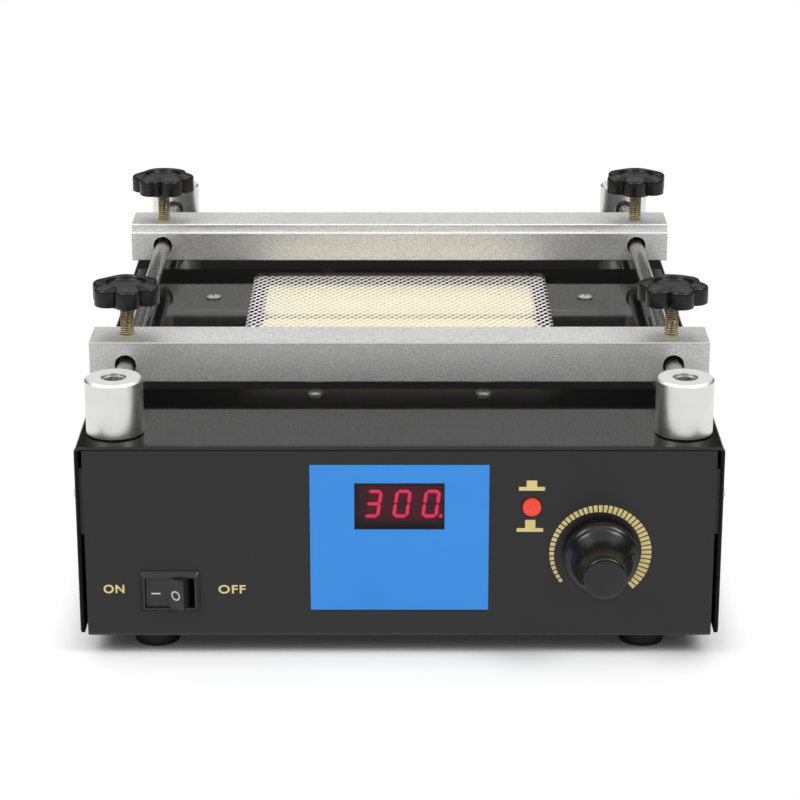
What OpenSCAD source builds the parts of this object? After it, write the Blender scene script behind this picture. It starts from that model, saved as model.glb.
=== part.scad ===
// Infrared preheater for circuit boards. A sheet metal case carries a meshed heater window on top,
// and two clamp bars slide on guide rods to hold a board over the heat.
// Millimetres. X runs to the right, Y runs to the back, Z runs up and the feet stand on Z zero.
// Heights on the front and rear panels are measured from the bottom edge of the case.

/* [Case] */
// Width over the cover
body_w = 222; // [215:1:240]
// Depth from the front panel to the rear panel
body_d = 301; // [295:1:340]
// Height of the case without its feet
body_h = 70.3; // [68:0.1:85]
// Thickness of the case sheet
sheet = 1.2; // [0.8:0.1:1.5]
// Outer radius of the sheet bends
bend_r = 2; // [1.8:0.1:4]
// Slit between the front panel and the side of the cover
side_slit = 1.4; // [0.6:0.1:1.6]
// Slit between the top edge of the front panel and the cover
top_slit = 0.3; // [0.2:0.1:0.6]
// Height of the cover's lower edge over the bottom of the case
cover_raise = 0.6; // [0.5:0.1:3]
// Radius of the lower corners of the cover's sides
cover_corner_r = 3; // [1:0.5:6]
// Height of the cover screws
cover_screw_z = 50; // [40:1:55]
// Distance of the cover screws from the front and rear panels
cover_screw_y = 9; // [7:0.5:14]
// Height of the brackets that the cover screws hold
bracket_h = 24; // [16:1:28]
// Leg length of those brackets
bracket_l = 15; // [15:1:20]

/* [Vents] */
// Length of a vent slot
vent_l = 30; // [20:1:40]
// Width of a vent slot
vent_w = 3; // [2:0.5:4]
// Distance from slot to slot
vent_pitch = 7; // [6:0.5:9]
// Slots in a row
vent_n = 7; // [3:1:9]
// Distance of the bottom vent rows from the middle
vent_x = 48; // [40:1:55]

/* [Feet] */
// Diameter of a foot at the case
foot_d = 18; // [14:0.5:22]
// Diameter of a foot at the ground
foot_tip_d = 15.5; // [12:0.5:22]
// Height of a foot
foot_h = 7.5; // [5:0.5:12]
// Distance of a foot's axis from the side of the cover
foot_inset_x = 25.3; // [20:0.1:40]
// Distance of a foot's axis from the front and rear panels
foot_inset_y = 16.7; // [13:0.1:30]
// Diameter of the recess for the foot screw
foot_recess_d = 8; // [7:0.5:9]
// Depth of that recess
foot_recess_h = 3.5; // [2.5:0.1:4]

/* [Posts and rods] */
// Diameter of a post
post_d = 20; // [18:0.5:24]
// Height of a post
post_h = 20; // [18:0.5:24]
// Edge break at the top of a post
post_edge = 0.8; // [0.3:0.1:1.5]
// Distance of a post's axis from the line midway between the side of the cover and the end of a bar
post_inset_x = 12.8; // [12.5:0.1:16]
// Distance of a post's axis from the front and rear panels
post_inset_y = 15.4; // [14:0.1:20]
// Diameter of a guide rod
rod_d = 6; // [5:0.5:7]
// Height of the rod axis over the cover
rod_rise = 10.5; // [9.5:0.1:11]
// Diameter of the rod hole in a post
post_hole_d = 7.4; // [7.2:0.1:7.6]
// Diameter of the post screw's thread
post_screw_d = 5; // [4:0.5:6]
// Head diameter of the post screw
post_head_d = 8.5; // [8:0.1:9]
// Head height of the post screw
post_head_h = 4.6; // [4:0.1:5]
// Depth of the post screw's head below the top of the post
post_head_sink = 0.7; // [0.2:0.1:0.8]
// Hexagon socket of the post screw, across its flats
post_socket = 4; // [3:0.5:4]
// Wall between the end of the rod hole and the post screw
post_web = 0.9; // [0.5:0.1:1.5]

/* [Clamp bars] */
// Length of a clamp bar
bar_l = 222; // [216:1:240]
// Width of a clamp bar, front to back
bar_w = 22; // [18:0.5:26]
// Height of a clamp bar
bar_h = 15; // [13:0.5:16]
// Width of the ledge that carries the board
ledge_w = 2.5; // [1.5:0.1:4]
// Depth of that ledge below the top of the bar
ledge_h = 3; // [1.6:0.1:3.5]
// Edge break of the bars
bar_edge = 0.4; // [0.2:0.1:0.8]
// Diameter of the rod hole in a bar
bar_hole_d = 7.7; // [7.2:0.1:8]
// Height of the rod hole's axis over the bottom of the bar
bar_hole_up = 6.4; // [5.5:0.1:7]
// Distance from the front panel to the front bar
front_bar_y = 54.9; // [40:0.05:70]
// Distance from the rear panel to the rear bar
rear_bar_y = 63.8; // [40:0.1:70]

/* [Clamp screws] */
// Diameter of the threaded stud
stud_d = 5; // [4:0.5:6]
// Gap from the top of the bar to the star knob
knob_rise = 10.6; // [8:0.1:18]
// Diameter over the lobes of a star knob
star_d = 25.5; // [22:0.5:28]
// Number of lobes
star_lobes = 6; // [5:1:7]
// Width of a lobe
lobe_w = 7.2; // [6:0.1:8.5]
// Corner radius of a lobe
lobe_r = 1.8; // [1:0.1:2.8]
// Depth of the valleys between the lobes
valley = 2; // [1.5:0.1:3]
// Thickness of the lobes
lobe_h = 6.4; // [4:0.1:7]
// Rounding of the lobes' upper rim
lobe_round = 0.6; // [0.4:0.1:1.8]
// Diameter of the hub below the lobes
hub_d = 12.6; // [10:0.1:15]
// Height of the hub below the lobes
hub_h = 1.5; // [1:0.1:4]
// Height of the raised ring over the lobes
ring_h = 1.3; // [0.5:0.1:1.5]
// Outer radius of the raised ring
ring_r = 9.4; // [8:0.1:9.8]
// Radius of the dish inside the ring
dish_r = 6.2; // [4:0.1:7]
// Depth of the dish below the ring
dish_h = 1.8; // [0.8:0.1:2.2]
// Depth of the stud inside the knob
stud_grip = 4.2; // [4:0.1:5.5]

/* [Heater] */
// Width of the window in the cover
window_w = 120; // [110:1:126]
// Length of the window, front to back
window_l = 127; // [120:1:136]
// Corner radius of the window
window_r = 4; // [2:0.5:8]
// Width of a ceramic tile
tile_w = 111; // [100:0.5:118]
// Length of a ceramic tile, front to back
tile_l = 39.5; // [34:0.5:41]
// Thickness of a ceramic tile
tile_t = 9; // [7:0.5:11]
// Gap between two tiles
tile_gap = 9.7; // [6:0.1:12]
// Depth of the tiles below the top of the cover
tile_drop = 6.3; // [5:0.1:8]
// Corner radius of a tile
tile_r = 4; // [3:0.5:7]
// Bevel along the upper edge of a tile
tile_bevel = 1.2; // [0.5:0.1:2]
// Width of a tile's stem
stem_w = 14; // [10:0.5:18]
// Length of a tile's stem, front to back
stem_l = 9; // [7:0.5:12]
// Shoulder of the stem that stands on the pan
stem_shoulder = 3; // [2:0.5:4]
// Pitch of the mesh openings across
mesh_pitch_x = 6.4; // [5.4:0.1:9]
// Pitch of the mesh openings along
mesh_pitch_y = 9.6; // [8:0.1:12]
// Width of a mesh strand
strand_w = 1.1; // [0.8:0.1:1.4]
// Thickness of the mesh and of the gasket round it
mesh_t = 0.8; // [0.6:0.1:1.2]
// Overlap of the mesh on the pan's flange
mesh_lap = 4; // [3:0.5:6]
// Thickness of the pan sheet
pan_sheet = 0.8; // [0.6:0.1:1.2]
// Depth of the pan
pan_depth = 24; // [20:0.5:28]
// Room between the tiles or the window and the pan's walls
pan_room = 2; // [1:0.5:4]
// Corner radius inside the pan
pan_r = 6; // [3:0.5:10]
// Distance of the side pan screws from the pan's wall
pan_screw_side = 12.8; // [9.5:0.1:16]
// Distance of the end pan screws from the pan's wall
pan_screw_end = 20.8; // [12:0.1:26]
// Spacing of the side pan screws, front to back
pan_screw_pitch_y = 54.8; // [30:0.1:80]
// Spacing of the end pan screws, side to side
pan_screw_pitch_x = 60.6; // [40:0.1:90]
// Flange left outside the pan screws
flange_edge = 6; // [5:0.5:8]
// Thickness of the insulation pad below the pan
pad_t = 10; // [6:0.5:12]
// Thickness of the spring clips that hold the tiles
clip_t = 1.2; // [0.8:0.1:1.6]
// Width of those clips around the stem
clip_edge = 5; // [3:0.5:7]
// Diameter of the temperature probe
probe_d = 3; // [2:0.5:4]
// Length of the temperature probe
probe_l = 58; // [54:1:64]
// Depth of the probe inside the pan
probe_in = 46; // [35:1:48]

/* [Display] */
// Width of the blue overlay
overlay_w = 61.5; // [50:0.5:70]
// Height of the blue overlay
overlay_h = 53.4; // [50:0.1:56]
// Thickness of the overlay
overlay_t = 0.3; // [0.2:0.1:0.6]
// Height of the overlay's lower edge
overlay_z = 10.4; // [5:0.1:11]
// Width of the display window
lens_w = 31; // [31:0.5:36]
// Height of the display window
lens_h = 17; // [15:0.5:19]
// Height of the window's lower edge
lens_z = 40.2; // [36:0.1:41]
// Thickness of the display lens
lens_t = 2; // [1.6:0.1:3]
// Height of a digit
digit_h = 10.2; // [8:0.1:11]
// Width of a digit
digit_w = 5.6; // [4.5:0.1:6]
// Distance from digit to digit
digit_pitch = 10; // [8:0.1:10]
// Sideways place of the middle digit
digit_x = 0.9; // [-0.5:0.1:1]
// Width of a lit segment
segment_w = 1.15; // [0.8:0.05:1.3]
// Slant of the digits in degrees
digit_slant = 8; // [0:1:12]
// Depth of the display module
module_d = 7.2; // [6:0.1:9]
// Width of the display board
display_board_w = 84; // [80:1:90]
// Height of the display board
display_board_h = 26; // [24:0.5:30]
// Sideways place of the display board's middle
display_board_x = 13; // [11:0.5:15]
// Diameter of the studs that carry the display board
spacer_d = 5; // [4.5:0.1:6]

/* [Controls] */
// Sideways place of the rocker switch
switch_x = -79.4; // [-84:0.1:-60]
// Height of the rocker switch
switch_z = 17.2; // [14:0.1:26]
// Width of the switch bezel
switch_w = 21; // [20:0.1:23]
// Height of the switch bezel
switch_h = 15; // [14:0.1:17]
// Reach of the bezel in front of the panel
bezel_t = 2; // [1.5:0.1:2.5]
// Border of the bezel around the switch body
bezel_border = 1; // [0.8:0.1:1.2]
// Slope of the bezel's sides, from the panel to its front
bezel_slope = 1.2; // [0.6:0.1:1.4]
// Depth of the switch body behind the panel
switch_d = 13; // [12:0.5:16]
// Wall of the switch body
switch_wall = 0.9; // [0.8:0.1:1.2]
// Depth of the rocker's pivot behind the panel
rocker_pivot = 2.6; // [2:0.1:3]
// Reach of the rocker's pressed side in front of the panel
rocker_face = 1.1; // [0.6:0.1:1.4]
// Turn of the rocker from one side to the other, in degrees
rocker_turn = 33; // [20:1:34]
// Diameter of the rocker's pivot pins
pivot_d = 2; // [1.6:0.1:2.4]
// Length of the switch's solder tabs
tab_l = 8; // [6:0.5:10]
// Width of a solder tab
tab_w = 4.8; // [4:0.1:6.3]
// Thickness of a solder tab
tab_t = 0.8; // [0.5:0.1:1]
// Sideways place of the push button
button_x = 45.4; // [42:0.1:46]
// Height of the push button
button_z = 48.6; // [44:0.1:50]
// Diameter of the push button
button_d = 6.3; // [5:0.1:7]
// Reach of the button in front of the panel
button_reach = 1.2; // [1:0.1:3]
// Travel of the button
button_travel = 1; // [0.8:0.1:1]
// Depth of the dish in the button's face
button_dish = 0.4; // [0.2:0.1:0.8]
// Width of the switch behind the button
button_switch_w = 8; // [7:0.5:10]
// Depth of that switch behind the panel's face, without the travel
button_room = 2.7; // [2.4:0.1:3]
// Diameter of the button's plunger
plunger_d = 3; // [2:0.1:3.5]
// Depth of the plunger inside the switch
plunger_in = 4; // [3:0.1:4]
// Sideways place of the temperature knob
dial_x = 69.3; // [66:0.1:80]
// Height of the temperature knob
dial_z = 31.5; // [26:0.1:36]
// Reach of the temperature knob in front of the panel
knob_reach = 24; // [20:0.5:28]
// Diameter of the knob's skirt
skirt_d = 25.8; // [25:0.1:28]
// Thickness of the skirt
skirt_t = 6.8; // [5.5:0.1:8]
// Diameter of the knob's stem at the skirt
grip_d = 14.8; // [14:0.1:16]
// Radius of the hollow between the skirt and the stem
hollow_r = 3.4; // [2:0.1:4]
// Diameter of the flat cap of the knob
cap_d = 14; // [12:0.1:16]
// Rounding of the cap's edge
cap_round = 1.2; // [0.6:0.1:2]
// Diameter of the pointer nub on the skirt
nub_d = 2.4; // [1.6:0.1:2.6]
// Diameter of the control shaft
shaft_d = 6; // [5:0.5:6]
// Diameter of the threaded bush
bush_d = 7.5; // [7:0.1:8]
// Reach of the bush in front of the panel
bush_reach = 4.5; // [4:0.1:5.5]
// Diameter of the potentiometer
pot_d = 17; // [16:0.5:20]
// Depth of the potentiometer
pot_t = 9; // [8:0.5:12]
// Hexagon of the bush nut across its flats
bush_nut = 10; // [9:0.5:11]
// Thickness of the bush nut
bush_nut_t = 2; // [1.5:0.1:2.4]

/* [Electronics] */
// Width of the control board
board_w = 150; // [130:1:160]
// Length of the control board, front to back
board_l = 54; // [46:1:58]
// Thickness of the boards
board_t = 1.6; // [1:0.1:2]
// Distance from the front panel to the control board
board_y = 28; // [26:0.5:32]
// Height of the standoffs under the control board
standoff_h = 6; // [5:0.5:8]
// Hexagon of the standoffs across its flats
standoff_w = 5.5; // [5:0.5:7]
// Distance of the standoffs from the board's edges
standoff_inset = 5; // [4:0.5:6]
// Width of the transformer
transformer_w = 35; // [30:0.5:38]
// Length of the transformer, front to back
transformer_l = 28; // [24:0.5:30]
// Height of the transformer
transformer_h = 29; // [24:0.5:31]
// Height of the heatsink
heatsink_h = 26; // [20:0.5:30]
// Number of heatsink fins
fin_n = 6; // [4:1:8]
// Spacing of the fins
fin_pitch = 4; // [3:0.1:5]
// Thickness of a fin
fin_t = 1.2; // [0.8:0.1:1.6]
// Length of the fins, front to back
fin_l = 16; // [12:0.5:18]
// Thickness of the heatsink's base
sink_base = 3; // [2:0.5:4]
// Width of the power switch on the heatsink
triac_w = 10; // [9:0.5:11]
// Thickness of the power switch
triac_t = 4.5; // [4:0.1:5]
// Height of the power switch
triac_h = 15; // [12:0.5:16]
// Poles of the terminal block
pole_n = 6; // [4:1:6]
// Width of a terminal pole
pole_w = 7.6; // [6:0.1:8]
// Length of the terminal block, front to back
block_l = 10; // [9:0.5:12]
// Height of the terminal block
block_h = 12; // [10:0.5:14]

/* [Rear panel] */
// Sideways place of the mains inlet
inlet_x = 58; // [40:1:70]
// Height of the mains inlet
inlet_z = 30; // [22:0.5:40]
// Width of the inlet's flange
inlet_w = 50; // [48:0.5:54]
// Height of the inlet's flange
inlet_h = 23; // [23:0.5:28]
// Thickness of the inlet's flange
inlet_t = 3; // [2.5:0.1:4]
// Spacing of the inlet screws
inlet_pitch = 40; // [39:0.1:41]
// Width of the inlet's socket
socket_w = 24.6; // [24:0.1:26]
// Height of the inlet's socket
socket_h = 16.8; // [16:0.1:18]
// Depth of the inlet's socket
socket_d = 17; // [16:0.5:18]
// Wall around the socket
socket_wall = 1.3; // [1:0.1:1.5]
// Spacing of the inlet's pins
pin_pitch = 7; // [6.8:0.1:7.2]
// Rise of the middle pin over the outer pins
pin_rise = 4; // [3.5:0.1:4.5]
// Thickness of a pin
pin_t = 2; // [1.8:0.1:2.2]
// Height of a pin's section
pin_h = 4; // [3.5:0.1:4.2]
// Length of a pin behind the inlet
pin_tail = 8; // [6:0.5:10]
// Depth of the pins' tips behind the rear panel's face
pin_sink = 2; // [1:0.5:3]
// Sideways place of the fuse holder
fuse_x = 14; // [0:1:18]
// Diameter of the fuse holder's body
fuse_d = 12; // [11:0.5:13]
// Diameter of the fuse cap
fuse_cap_d = 15; // [14:0.5:17]
// Reach of the fuse cap behind the rear panel
fuse_reach = 9; // [7:0.5:12]
// Depth of the fuse holder inside the case
fuse_in = 30; // [24:1:36]

/* [Screws] */
// Diameter of the small screws
screw_d = 3; // [2.5:0.5:3.5]
// Head diameter of the small screws
screw_head_d = 6; // [5.5:0.1:6.5]
// Head height of the small screws
screw_head_h = 1.7; // [1.5:0.1:2.2]
// Thread that shows past a nut
thread_end = 1; // [0.5:0.1:1.5]

/* [Fits] */
// Running clearance of a shaft in its hole, on the radius
fit = 0.06; // [0.03:0.01:0.1]
// Clearance of a screw in a sheet hole, on the radius
hole_fit = 0.2; // [0.1:0.05:0.3]
// Gap between pieces that only lie next to each other
gap = 0.3; // [0.2:0.05:0.4]

/* [Hidden] */
$fn = 64;

// Main planes of the case
panel_y = -(body_d + fuse_reach - knob_reach) / 2;
rear_y = panel_y + body_d;
mid_y = (panel_y + rear_y) / 2;
top_z = foot_h + body_h;
under_z = top_z - sheet;
floor_z = foot_h + sheet;
cover_in = body_w / 2 - sheet;
tray_w = 2 * (cover_in - side_slit);
tray_h = body_h - sheet - top_slit;

// Feet, posts and rods
foot_x = body_w / 2 - foot_inset_x;
foot_y = body_d / 2 - foot_inset_y;
post_x = (body_w + bar_l) / 4 - post_inset_x;
post_y = body_d / 2 - post_inset_y;
rod_z = top_z + rod_rise;
rod_end = post_screw_d / 2 + hole_fit + post_web;
nut_h = 0.8 * post_screw_d;

// Clamp bars and their screws
bar_hole_z = rod_z + (bar_hole_d - rod_d) / 2 - fit;
bar_z = bar_hole_z - bar_hole_up;
bar_top = bar_z + bar_h;
front_bar_mid = panel_y + front_bar_y + bar_w / 2;
rear_bar_mid = rear_y - rear_bar_y - bar_w / 2;
star_z = bar_top + knob_rise;
stud_z = rod_z + rod_d / 2 + gap;
star_turn_front_left = 43;
star_turn_front_right = 45;
star_turn_rear_left = 58;
star_turn_rear_right = 21;

// Heater
tiles_l = 3 * tile_l + 2 * tile_gap;
tile_step = tile_l + tile_gap;
tile_top = top_z - tile_drop;
tile_z = tile_top - tile_t;
pan_w = max(window_w, tile_w) + 2 * pan_room;
pan_l = max(window_l, tiles_l) + 4 * pan_room;
flange_z = under_z - mesh_t - pan_sheet;
pan_z = flange_z + pan_sheet - pan_depth;
pan_floor_z = pan_z + pan_sheet;
pan_screw_x = pan_w / 2 + pan_screw_side;
pan_screw_y = pan_l / 2 + pan_screw_end;
flange_w = 2 * (pan_screw_x + flange_edge);
flange_l = 2 * (pan_screw_y + flange_edge);
mesh_w = pan_w + 2 * mesh_lap;
mesh_l = pan_l + 2 * mesh_lap;
pad_z = pan_z - pad_t;
clip_z = pad_z - clip_t;
pan_nut_h = 0.8 * screw_d;
probe_z = tile_z - probe_d / 2 - fit;

// Display and button, as depths behind the face of the panel
segment_t = 0.2;
module_y = lens_t + segment_t + gap;
display_board_y = module_y + module_d;
module_w = 3 * digit_pitch;
module_h = digit_h + 4;
digits_z = lens_z + lens_h / 2;
button_switch_y = button_travel + button_room;
button_depth = button_switch_y - button_travel - gap;

// Rocker switch
switch_body_w = switch_w - 2 * bezel_border;
switch_body_h = switch_h - 2 * bezel_border;
cavity_w = switch_body_w - 2 * switch_wall;
cavity_h = switch_body_h - 2 * switch_wall;
rocker_h = cavity_h - gap;
rocker_tilt = rocker_turn / 2;
rocker_crease = (rocker_pivot + rocker_face) / cos(rocker_tilt);
rocker_l = cavity_w / 2 - gap - rocker_crease * sin(rocker_tilt);
cavity_d = rocker_pivot + rocker_l;
pivot_pin_l = gap / 2 + 0.8 * switch_wall;

// Temperature knob
knob_gap = 0.8;
knob_base = knob_gap + skirt_t;
nub_turn = 11;
nut_room_d = 1.2 * bush_nut + 2;
shaft_tip = knob_reach - 4;

// Electronics
board_mid_y = panel_y + board_y + board_l / 2;
board_z = floor_z + standoff_h;
board_top = board_z + board_t;

// Shared shapes

// Rectangle with round corners, centred
module rounded_rect(w, l, r) {
    square([w - 2 * r, l], center = true);
    square([w, l - 2 * r], center = true);
    for (sx = [-1, 1], sy = [-1, 1])
        translate([sx * (w / 2 - r), sy * (l / 2 - r)])
            circle(r);
}

// Rectangle that stands on its lower edge, with only the lower corners round
module round_bottom(w, h, r) {
    translate([-w / 2, r])
        square([w, h - r]);
    translate([r - w / 2, 0])
        square([w - 2 * r, h]);
    for (sx = [-1, 1])
        translate([sx * (w / 2 - r), r])
            circle(r);
}

// Section of a sheet bent into a U
module bent_u(w, h, t, r) {
    difference() {
        round_bottom(w, h, r);
        translate([0, t])
            round_bottom(w - 2 * t, h, r - t);
    }
}

// Copies at the four corners of a rectangle
module at_corners(x, y) {
    for (sx = [-1, 1], sy = [-1, 1])
        translate([sx * x, sy * y, 0])
            children();
}

// Frame on the front panel: X right, Y up, Z towards the user
module on_panel(x, z) {
    translate([x, panel_y, foot_h + z])
        rotate([90, 0, 0])
            children();
}

// Frame on the rear panel: Y up, Z out of the case
module on_rear(x, z) {
    translate([x, rear_y, foot_h + z])
        rotate([90, 0, 180])
            children();
}

// Straight cut through the sheet whose outer face is the plane Z zero
module sheet_cut() {
    translate([0, 0, -sheet - 1])
        linear_extrude(sheet + 2)
            children();
}

// Extrusion from one depth behind the face to another
module behind(from, to) {
    translate([0, 0, -to])
        linear_extrude(to - from)
            children();
}

// Cross recess of a screw head
module cross_recess(size) {
    for (turn = [0, 90])
        rotate(turn)
            cube([size, 0.2 * size, 0.6 * size], center = true);
}

// Pan head screw: the head stands on Z zero and the shank points down
module pan_screw(d, l, head_d, head_h) {
    dome_r = 0.75 * head_d;
    difference() {
        intersection() {
            cylinder(d = head_d, h = head_h);
            translate([0, 0, head_h - dome_r])
                sphere(dome_r);
        }
        translate([0, 0, head_h])
            cross_recess(0.6 * head_d);
    }
    translate([0, 0, -l])
        cylinder(d = d, h = l);
}

// Hexagon nut that stands on Z zero
module hex_nut(d, flats, h) {
    difference() {
        cylinder(d = flats / cos(30), h = h, $fn = 6);
        translate([0, 0, -1])
            cylinder(r = d / 2 + fit, h = h + 2);
    }
}

// Row of vent slots that run along X and are stacked along Y
module vent_row() {
    for (i = [0 : vent_n - 1])
        translate([0, (i - (vent_n - 1) / 2) * vent_pitch])
            rounded_rect(vent_l, vent_w, 0.49 * vent_w);
}

// Case

// Bracket welded behind a panel's edge, which takes the cover screw
module cover_bracket() {
    leg_x = cover_in - fit;
    difference() {
        union() {
            translate([leg_x - sheet, sheet, cover_screw_z - bracket_h / 2])
                cube([sheet, bracket_l, bracket_h]);
            translate([leg_x - bracket_l, sheet, cover_screw_z - bracket_h / 2])
                cube([bracket_l, sheet, bracket_h]);
        }
        translate([leg_x - sheet - 1, cover_screw_y, cover_screw_z])
            rotate([0, 90, 0])
                cylinder(r = screw_d / 2 + fit, h = sheet + 2);
    }
}

module chassis_tray() {
    color("dimgray") {
        difference() {
            translate([-tray_w / 2, mid_y, foot_h])
                rotate([90, 0, 90])
                    linear_extrude(tray_w)
                        bent_u(body_d, tray_h, sheet, bend_r);
            front_cuts();
            rear_cuts();
            bottom_cuts();
        }
        for (sx = [0, 1], sy = [0, 1])
            translate([0, mid_y, foot_h])
                mirror([sx, 0, 0])
                    mirror([0, sy, 0])
                        translate([0, -body_d / 2, 0])
                            cover_bracket();
        on_panel(display_board_x, digits_z)
            at_corners(display_board_w / 2 - standoff_inset, display_board_h / 2 - standoff_inset)
                display_stud();
    }
}

// Stud welded behind the front panel that carries the display board
module display_stud() {
    behind(sheet, display_board_y)
        circle(d = spacer_d);
    behind(display_board_y, display_board_y + board_t + pan_nut_h + thread_end)
        circle(d = screw_d);
}

module front_cuts() {
    on_panel(0, digits_z)
        sheet_cut()
            square([lens_w + 2 * fit, lens_h + 2 * fit], center = true);
    on_panel(switch_x, switch_z)
        sheet_cut()
            square([switch_body_w + 2 * fit, switch_body_h + 2 * fit], center = true);
    on_panel(button_x, button_z)
        sheet_cut()
            circle(r = button_d / 2 + gap);
    on_panel(dial_x, dial_z)
        sheet_cut()
            circle(r = bush_d / 2 + hole_fit);
}

module rear_cuts() {
    around = 2 * (socket_wall + fit);
    on_rear(inlet_x, inlet_z)
        sheet_cut() {
            square([socket_w + around, socket_h + around], center = true);
            for (sx = [-1, 1])
                translate([sx * inlet_pitch / 2, 0])
                    circle(r = screw_d / 2 + hole_fit);
        }
    on_rear(fuse_x, inlet_z)
        sheet_cut()
            circle(r = fuse_d / 2 + hole_fit);
    on_rear(-vent_x, inlet_z)
        sheet_cut()
            vent_row();
}

module bottom_cuts() {
    translate([0, mid_y, floor_z]) {
        for (sx = [-1, 1])
            translate([sx * vent_x, 0, 0])
                sheet_cut()
                    vent_row();
        at_corners(foot_x, foot_y)
            sheet_cut()
                circle(r = screw_d / 2 + hole_fit);
    }
    translate([0, board_mid_y, floor_z])
        at_corners(board_w / 2 - standoff_inset, board_l / 2 - standoff_inset)
            sheet_cut()
                circle(r = screw_d / 2 + hole_fit);
}

module top_cover() {
    side_h = body_h - cover_raise;
    color("black")
        difference() {
            intersection() {
                translate([0, rear_y, top_z])
                    rotate([90, 0, 0])
                        linear_extrude(body_d)
                            mirror([0, 1])
                                bent_u(body_w, side_h, sheet, bend_r);
                translate([-body_w / 2, mid_y, top_z - side_h])
                    rotate([90, 0, 90])
                        linear_extrude(body_w)
                            round_bottom(body_d, side_h, cover_corner_r);
            }
            translate([0, mid_y, top_z]) {
                sheet_cut()
                    rounded_rect(window_w, window_l, window_r);
                at_corners(post_x, post_y)
                    sheet_cut()
                        circle(r = post_screw_d / 2 + hole_fit);
                at_pan_screws()
                    sheet_cut()
                        circle(r = screw_d / 2 + hole_fit);
            }
            translate([0, mid_y, foot_h + cover_screw_z])
                for (sy = [-1, 1])
                    translate([-body_w / 2 - 1, sy * (body_d / 2 - cover_screw_y), 0])
                        rotate([0, 90, 0])
                            cylinder(r = screw_d / 2 + hole_fit, h = body_w + 2);
        }
}

module cover_screws() {
    color("silver")
        translate([0, mid_y, foot_h + cover_screw_z])
            for (sx = [-1, 1], sy = [-1, 1])
                translate([sx * body_w / 2, sy * (body_d / 2 - cover_screw_y), 0])
                    rotate([0, sx * 90, 0])
                        pan_screw(screw_d, 3 * sheet, screw_head_d, screw_head_h);
}

module rubber_feet() {
    color("black")
        translate([0, mid_y, 0])
            at_corners(foot_x, foot_y)
                difference() {
                    cylinder(d1 = foot_tip_d, d2 = foot_d, h = foot_h);
                    translate([0, 0, -1])
                        cylinder(d = foot_recess_d, h = foot_recess_h + 1);
                    cylinder(r = screw_d / 2 + fit, h = foot_h + 1);
                }
}

module foot_screws() {
    color("silver")
        translate([0, mid_y, foot_recess_h])
            at_corners(foot_x, foot_y)
                mirror([0, 0, 1])
                    pan_screw(screw_d, foot_h - foot_recess_h + 2 * sheet, screw_head_d, screw_head_h);
}

// Posts and rods

// Post at one corner; its rod hole opens towards the middle of the case
module post(sx, sy) {
    color("gainsboro")
        translate([sx * post_x, mid_y + sy * post_y, top_z])
            difference() {
                rotate_extrude()
                    post_section();
                translate([0, 0, -1])
                    cylinder(r = post_screw_d / 2 + hole_fit, h = post_h + 2);
                translate([0, 0, post_h - post_head_sink - post_head_h])
                    cylinder(r = post_head_d / 2 + hole_fit, h = post_h);
                translate([0, -sy * rod_end, rod_rise + (post_hole_d - rod_d) / 2 - fit])
                    rotate([sy * 90, 0, 0])
                        cylinder(d = post_hole_d, h = post_d);
            }
}

module post_section() {
    r = post_d / 2;
    polygon([[0, 0], [r, 0], [r, post_h - post_edge], [r - post_edge, post_h], [0, post_h]]);
}

module front_left_post() post(-1, -1);
module front_right_post() post(1, -1);
module rear_left_post() post(-1, 1);
module rear_right_post() post(1, 1);

module post_screws() {
    head_z = top_z + post_h - post_head_sink - post_head_h;
    shank_l = head_z - under_z + nut_h + thread_end;
    color("lightgray")
        translate([0, mid_y, head_z])
            at_corners(post_x, post_y) {
                difference() {
                    cylinder(d = post_head_d, h = post_head_h);
                    translate([0, 0, 0.4 * post_head_h])
                        cylinder(d = post_socket / cos(30), h = post_head_h, $fn = 6);
                }
                translate([0, 0, -shank_l])
                    cylinder(d = post_screw_d, h = shank_l);
            }
}

module post_nuts() {
    color("silver")
        translate([0, mid_y, under_z - nut_h])
            at_corners(post_x, post_y)
                hex_nut(post_screw_d, 1.6 * post_screw_d, nut_h);
}

module guide_rod(sx) {
    length = 2 * (post_y - rod_end - fit);
    color("lightslategray")
        translate([sx * post_x, mid_y + length / 2, rod_z])
            rotate([90, 0, 0])
                cylinder(d = rod_d, h = length);
}

module left_guide_rod() guide_rod(-1);
module right_guide_rod() guide_rod(1);

// Clamp bars

// Section of a bar: the ledge is on the plus side
module bar_section() {
    e = bar_edge;
    h = bar_w / 2;
    polygon([
        [e - h, 0], [h - e, 0], [h, e], [h, bar_h - ledge_h - e], [h - e, bar_h - ledge_h],
        [h - ledge_w, bar_h - ledge_h], [h - ledge_w, bar_h - e], [h - ledge_w - e, bar_h],
        [e - h, bar_h], [-h, bar_h - e], [-h, e]
    ]);
}

// Bar with its middle at y; facing is 1 where the ledge looks to the back
module clamp_bar(y, facing) {
    color("silver")
        translate([0, y, bar_z])
            difference() {
                translate([-bar_l / 2, 0, 0])
                    rotate([90, 0, 90])
                        linear_extrude(bar_l)
                            scale([facing, 1])
                                bar_section();
                for (sx = [-1, 1])
                    translate([sx * post_x, 0, bar_hole_up]) {
                        translate([0, bar_w, 0])
                            rotate([90, 0, 0])
                                cylinder(d = bar_hole_d, h = 2 * bar_w);
                        cylinder(r = stud_d / 2 + fit, h = bar_h);
                    }
            }
}

module front_clamp_bar() clamp_bar(front_bar_mid, 1);
module rear_clamp_bar() clamp_bar(rear_bar_mid, -1);

// Clamp screws

module stud(sx, y) {
    color("goldenrod")
        translate([sx * post_x, y, stud_z])
            cylinder(d = stud_d, h = star_z + stud_grip - gap - stud_z);
}

module front_left_stud() stud(-1, front_bar_mid);
module front_right_stud() stud(1, front_bar_mid);
module rear_left_stud() stud(-1, rear_bar_mid);
module rear_right_stud() stud(1, rear_bar_mid);

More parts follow.
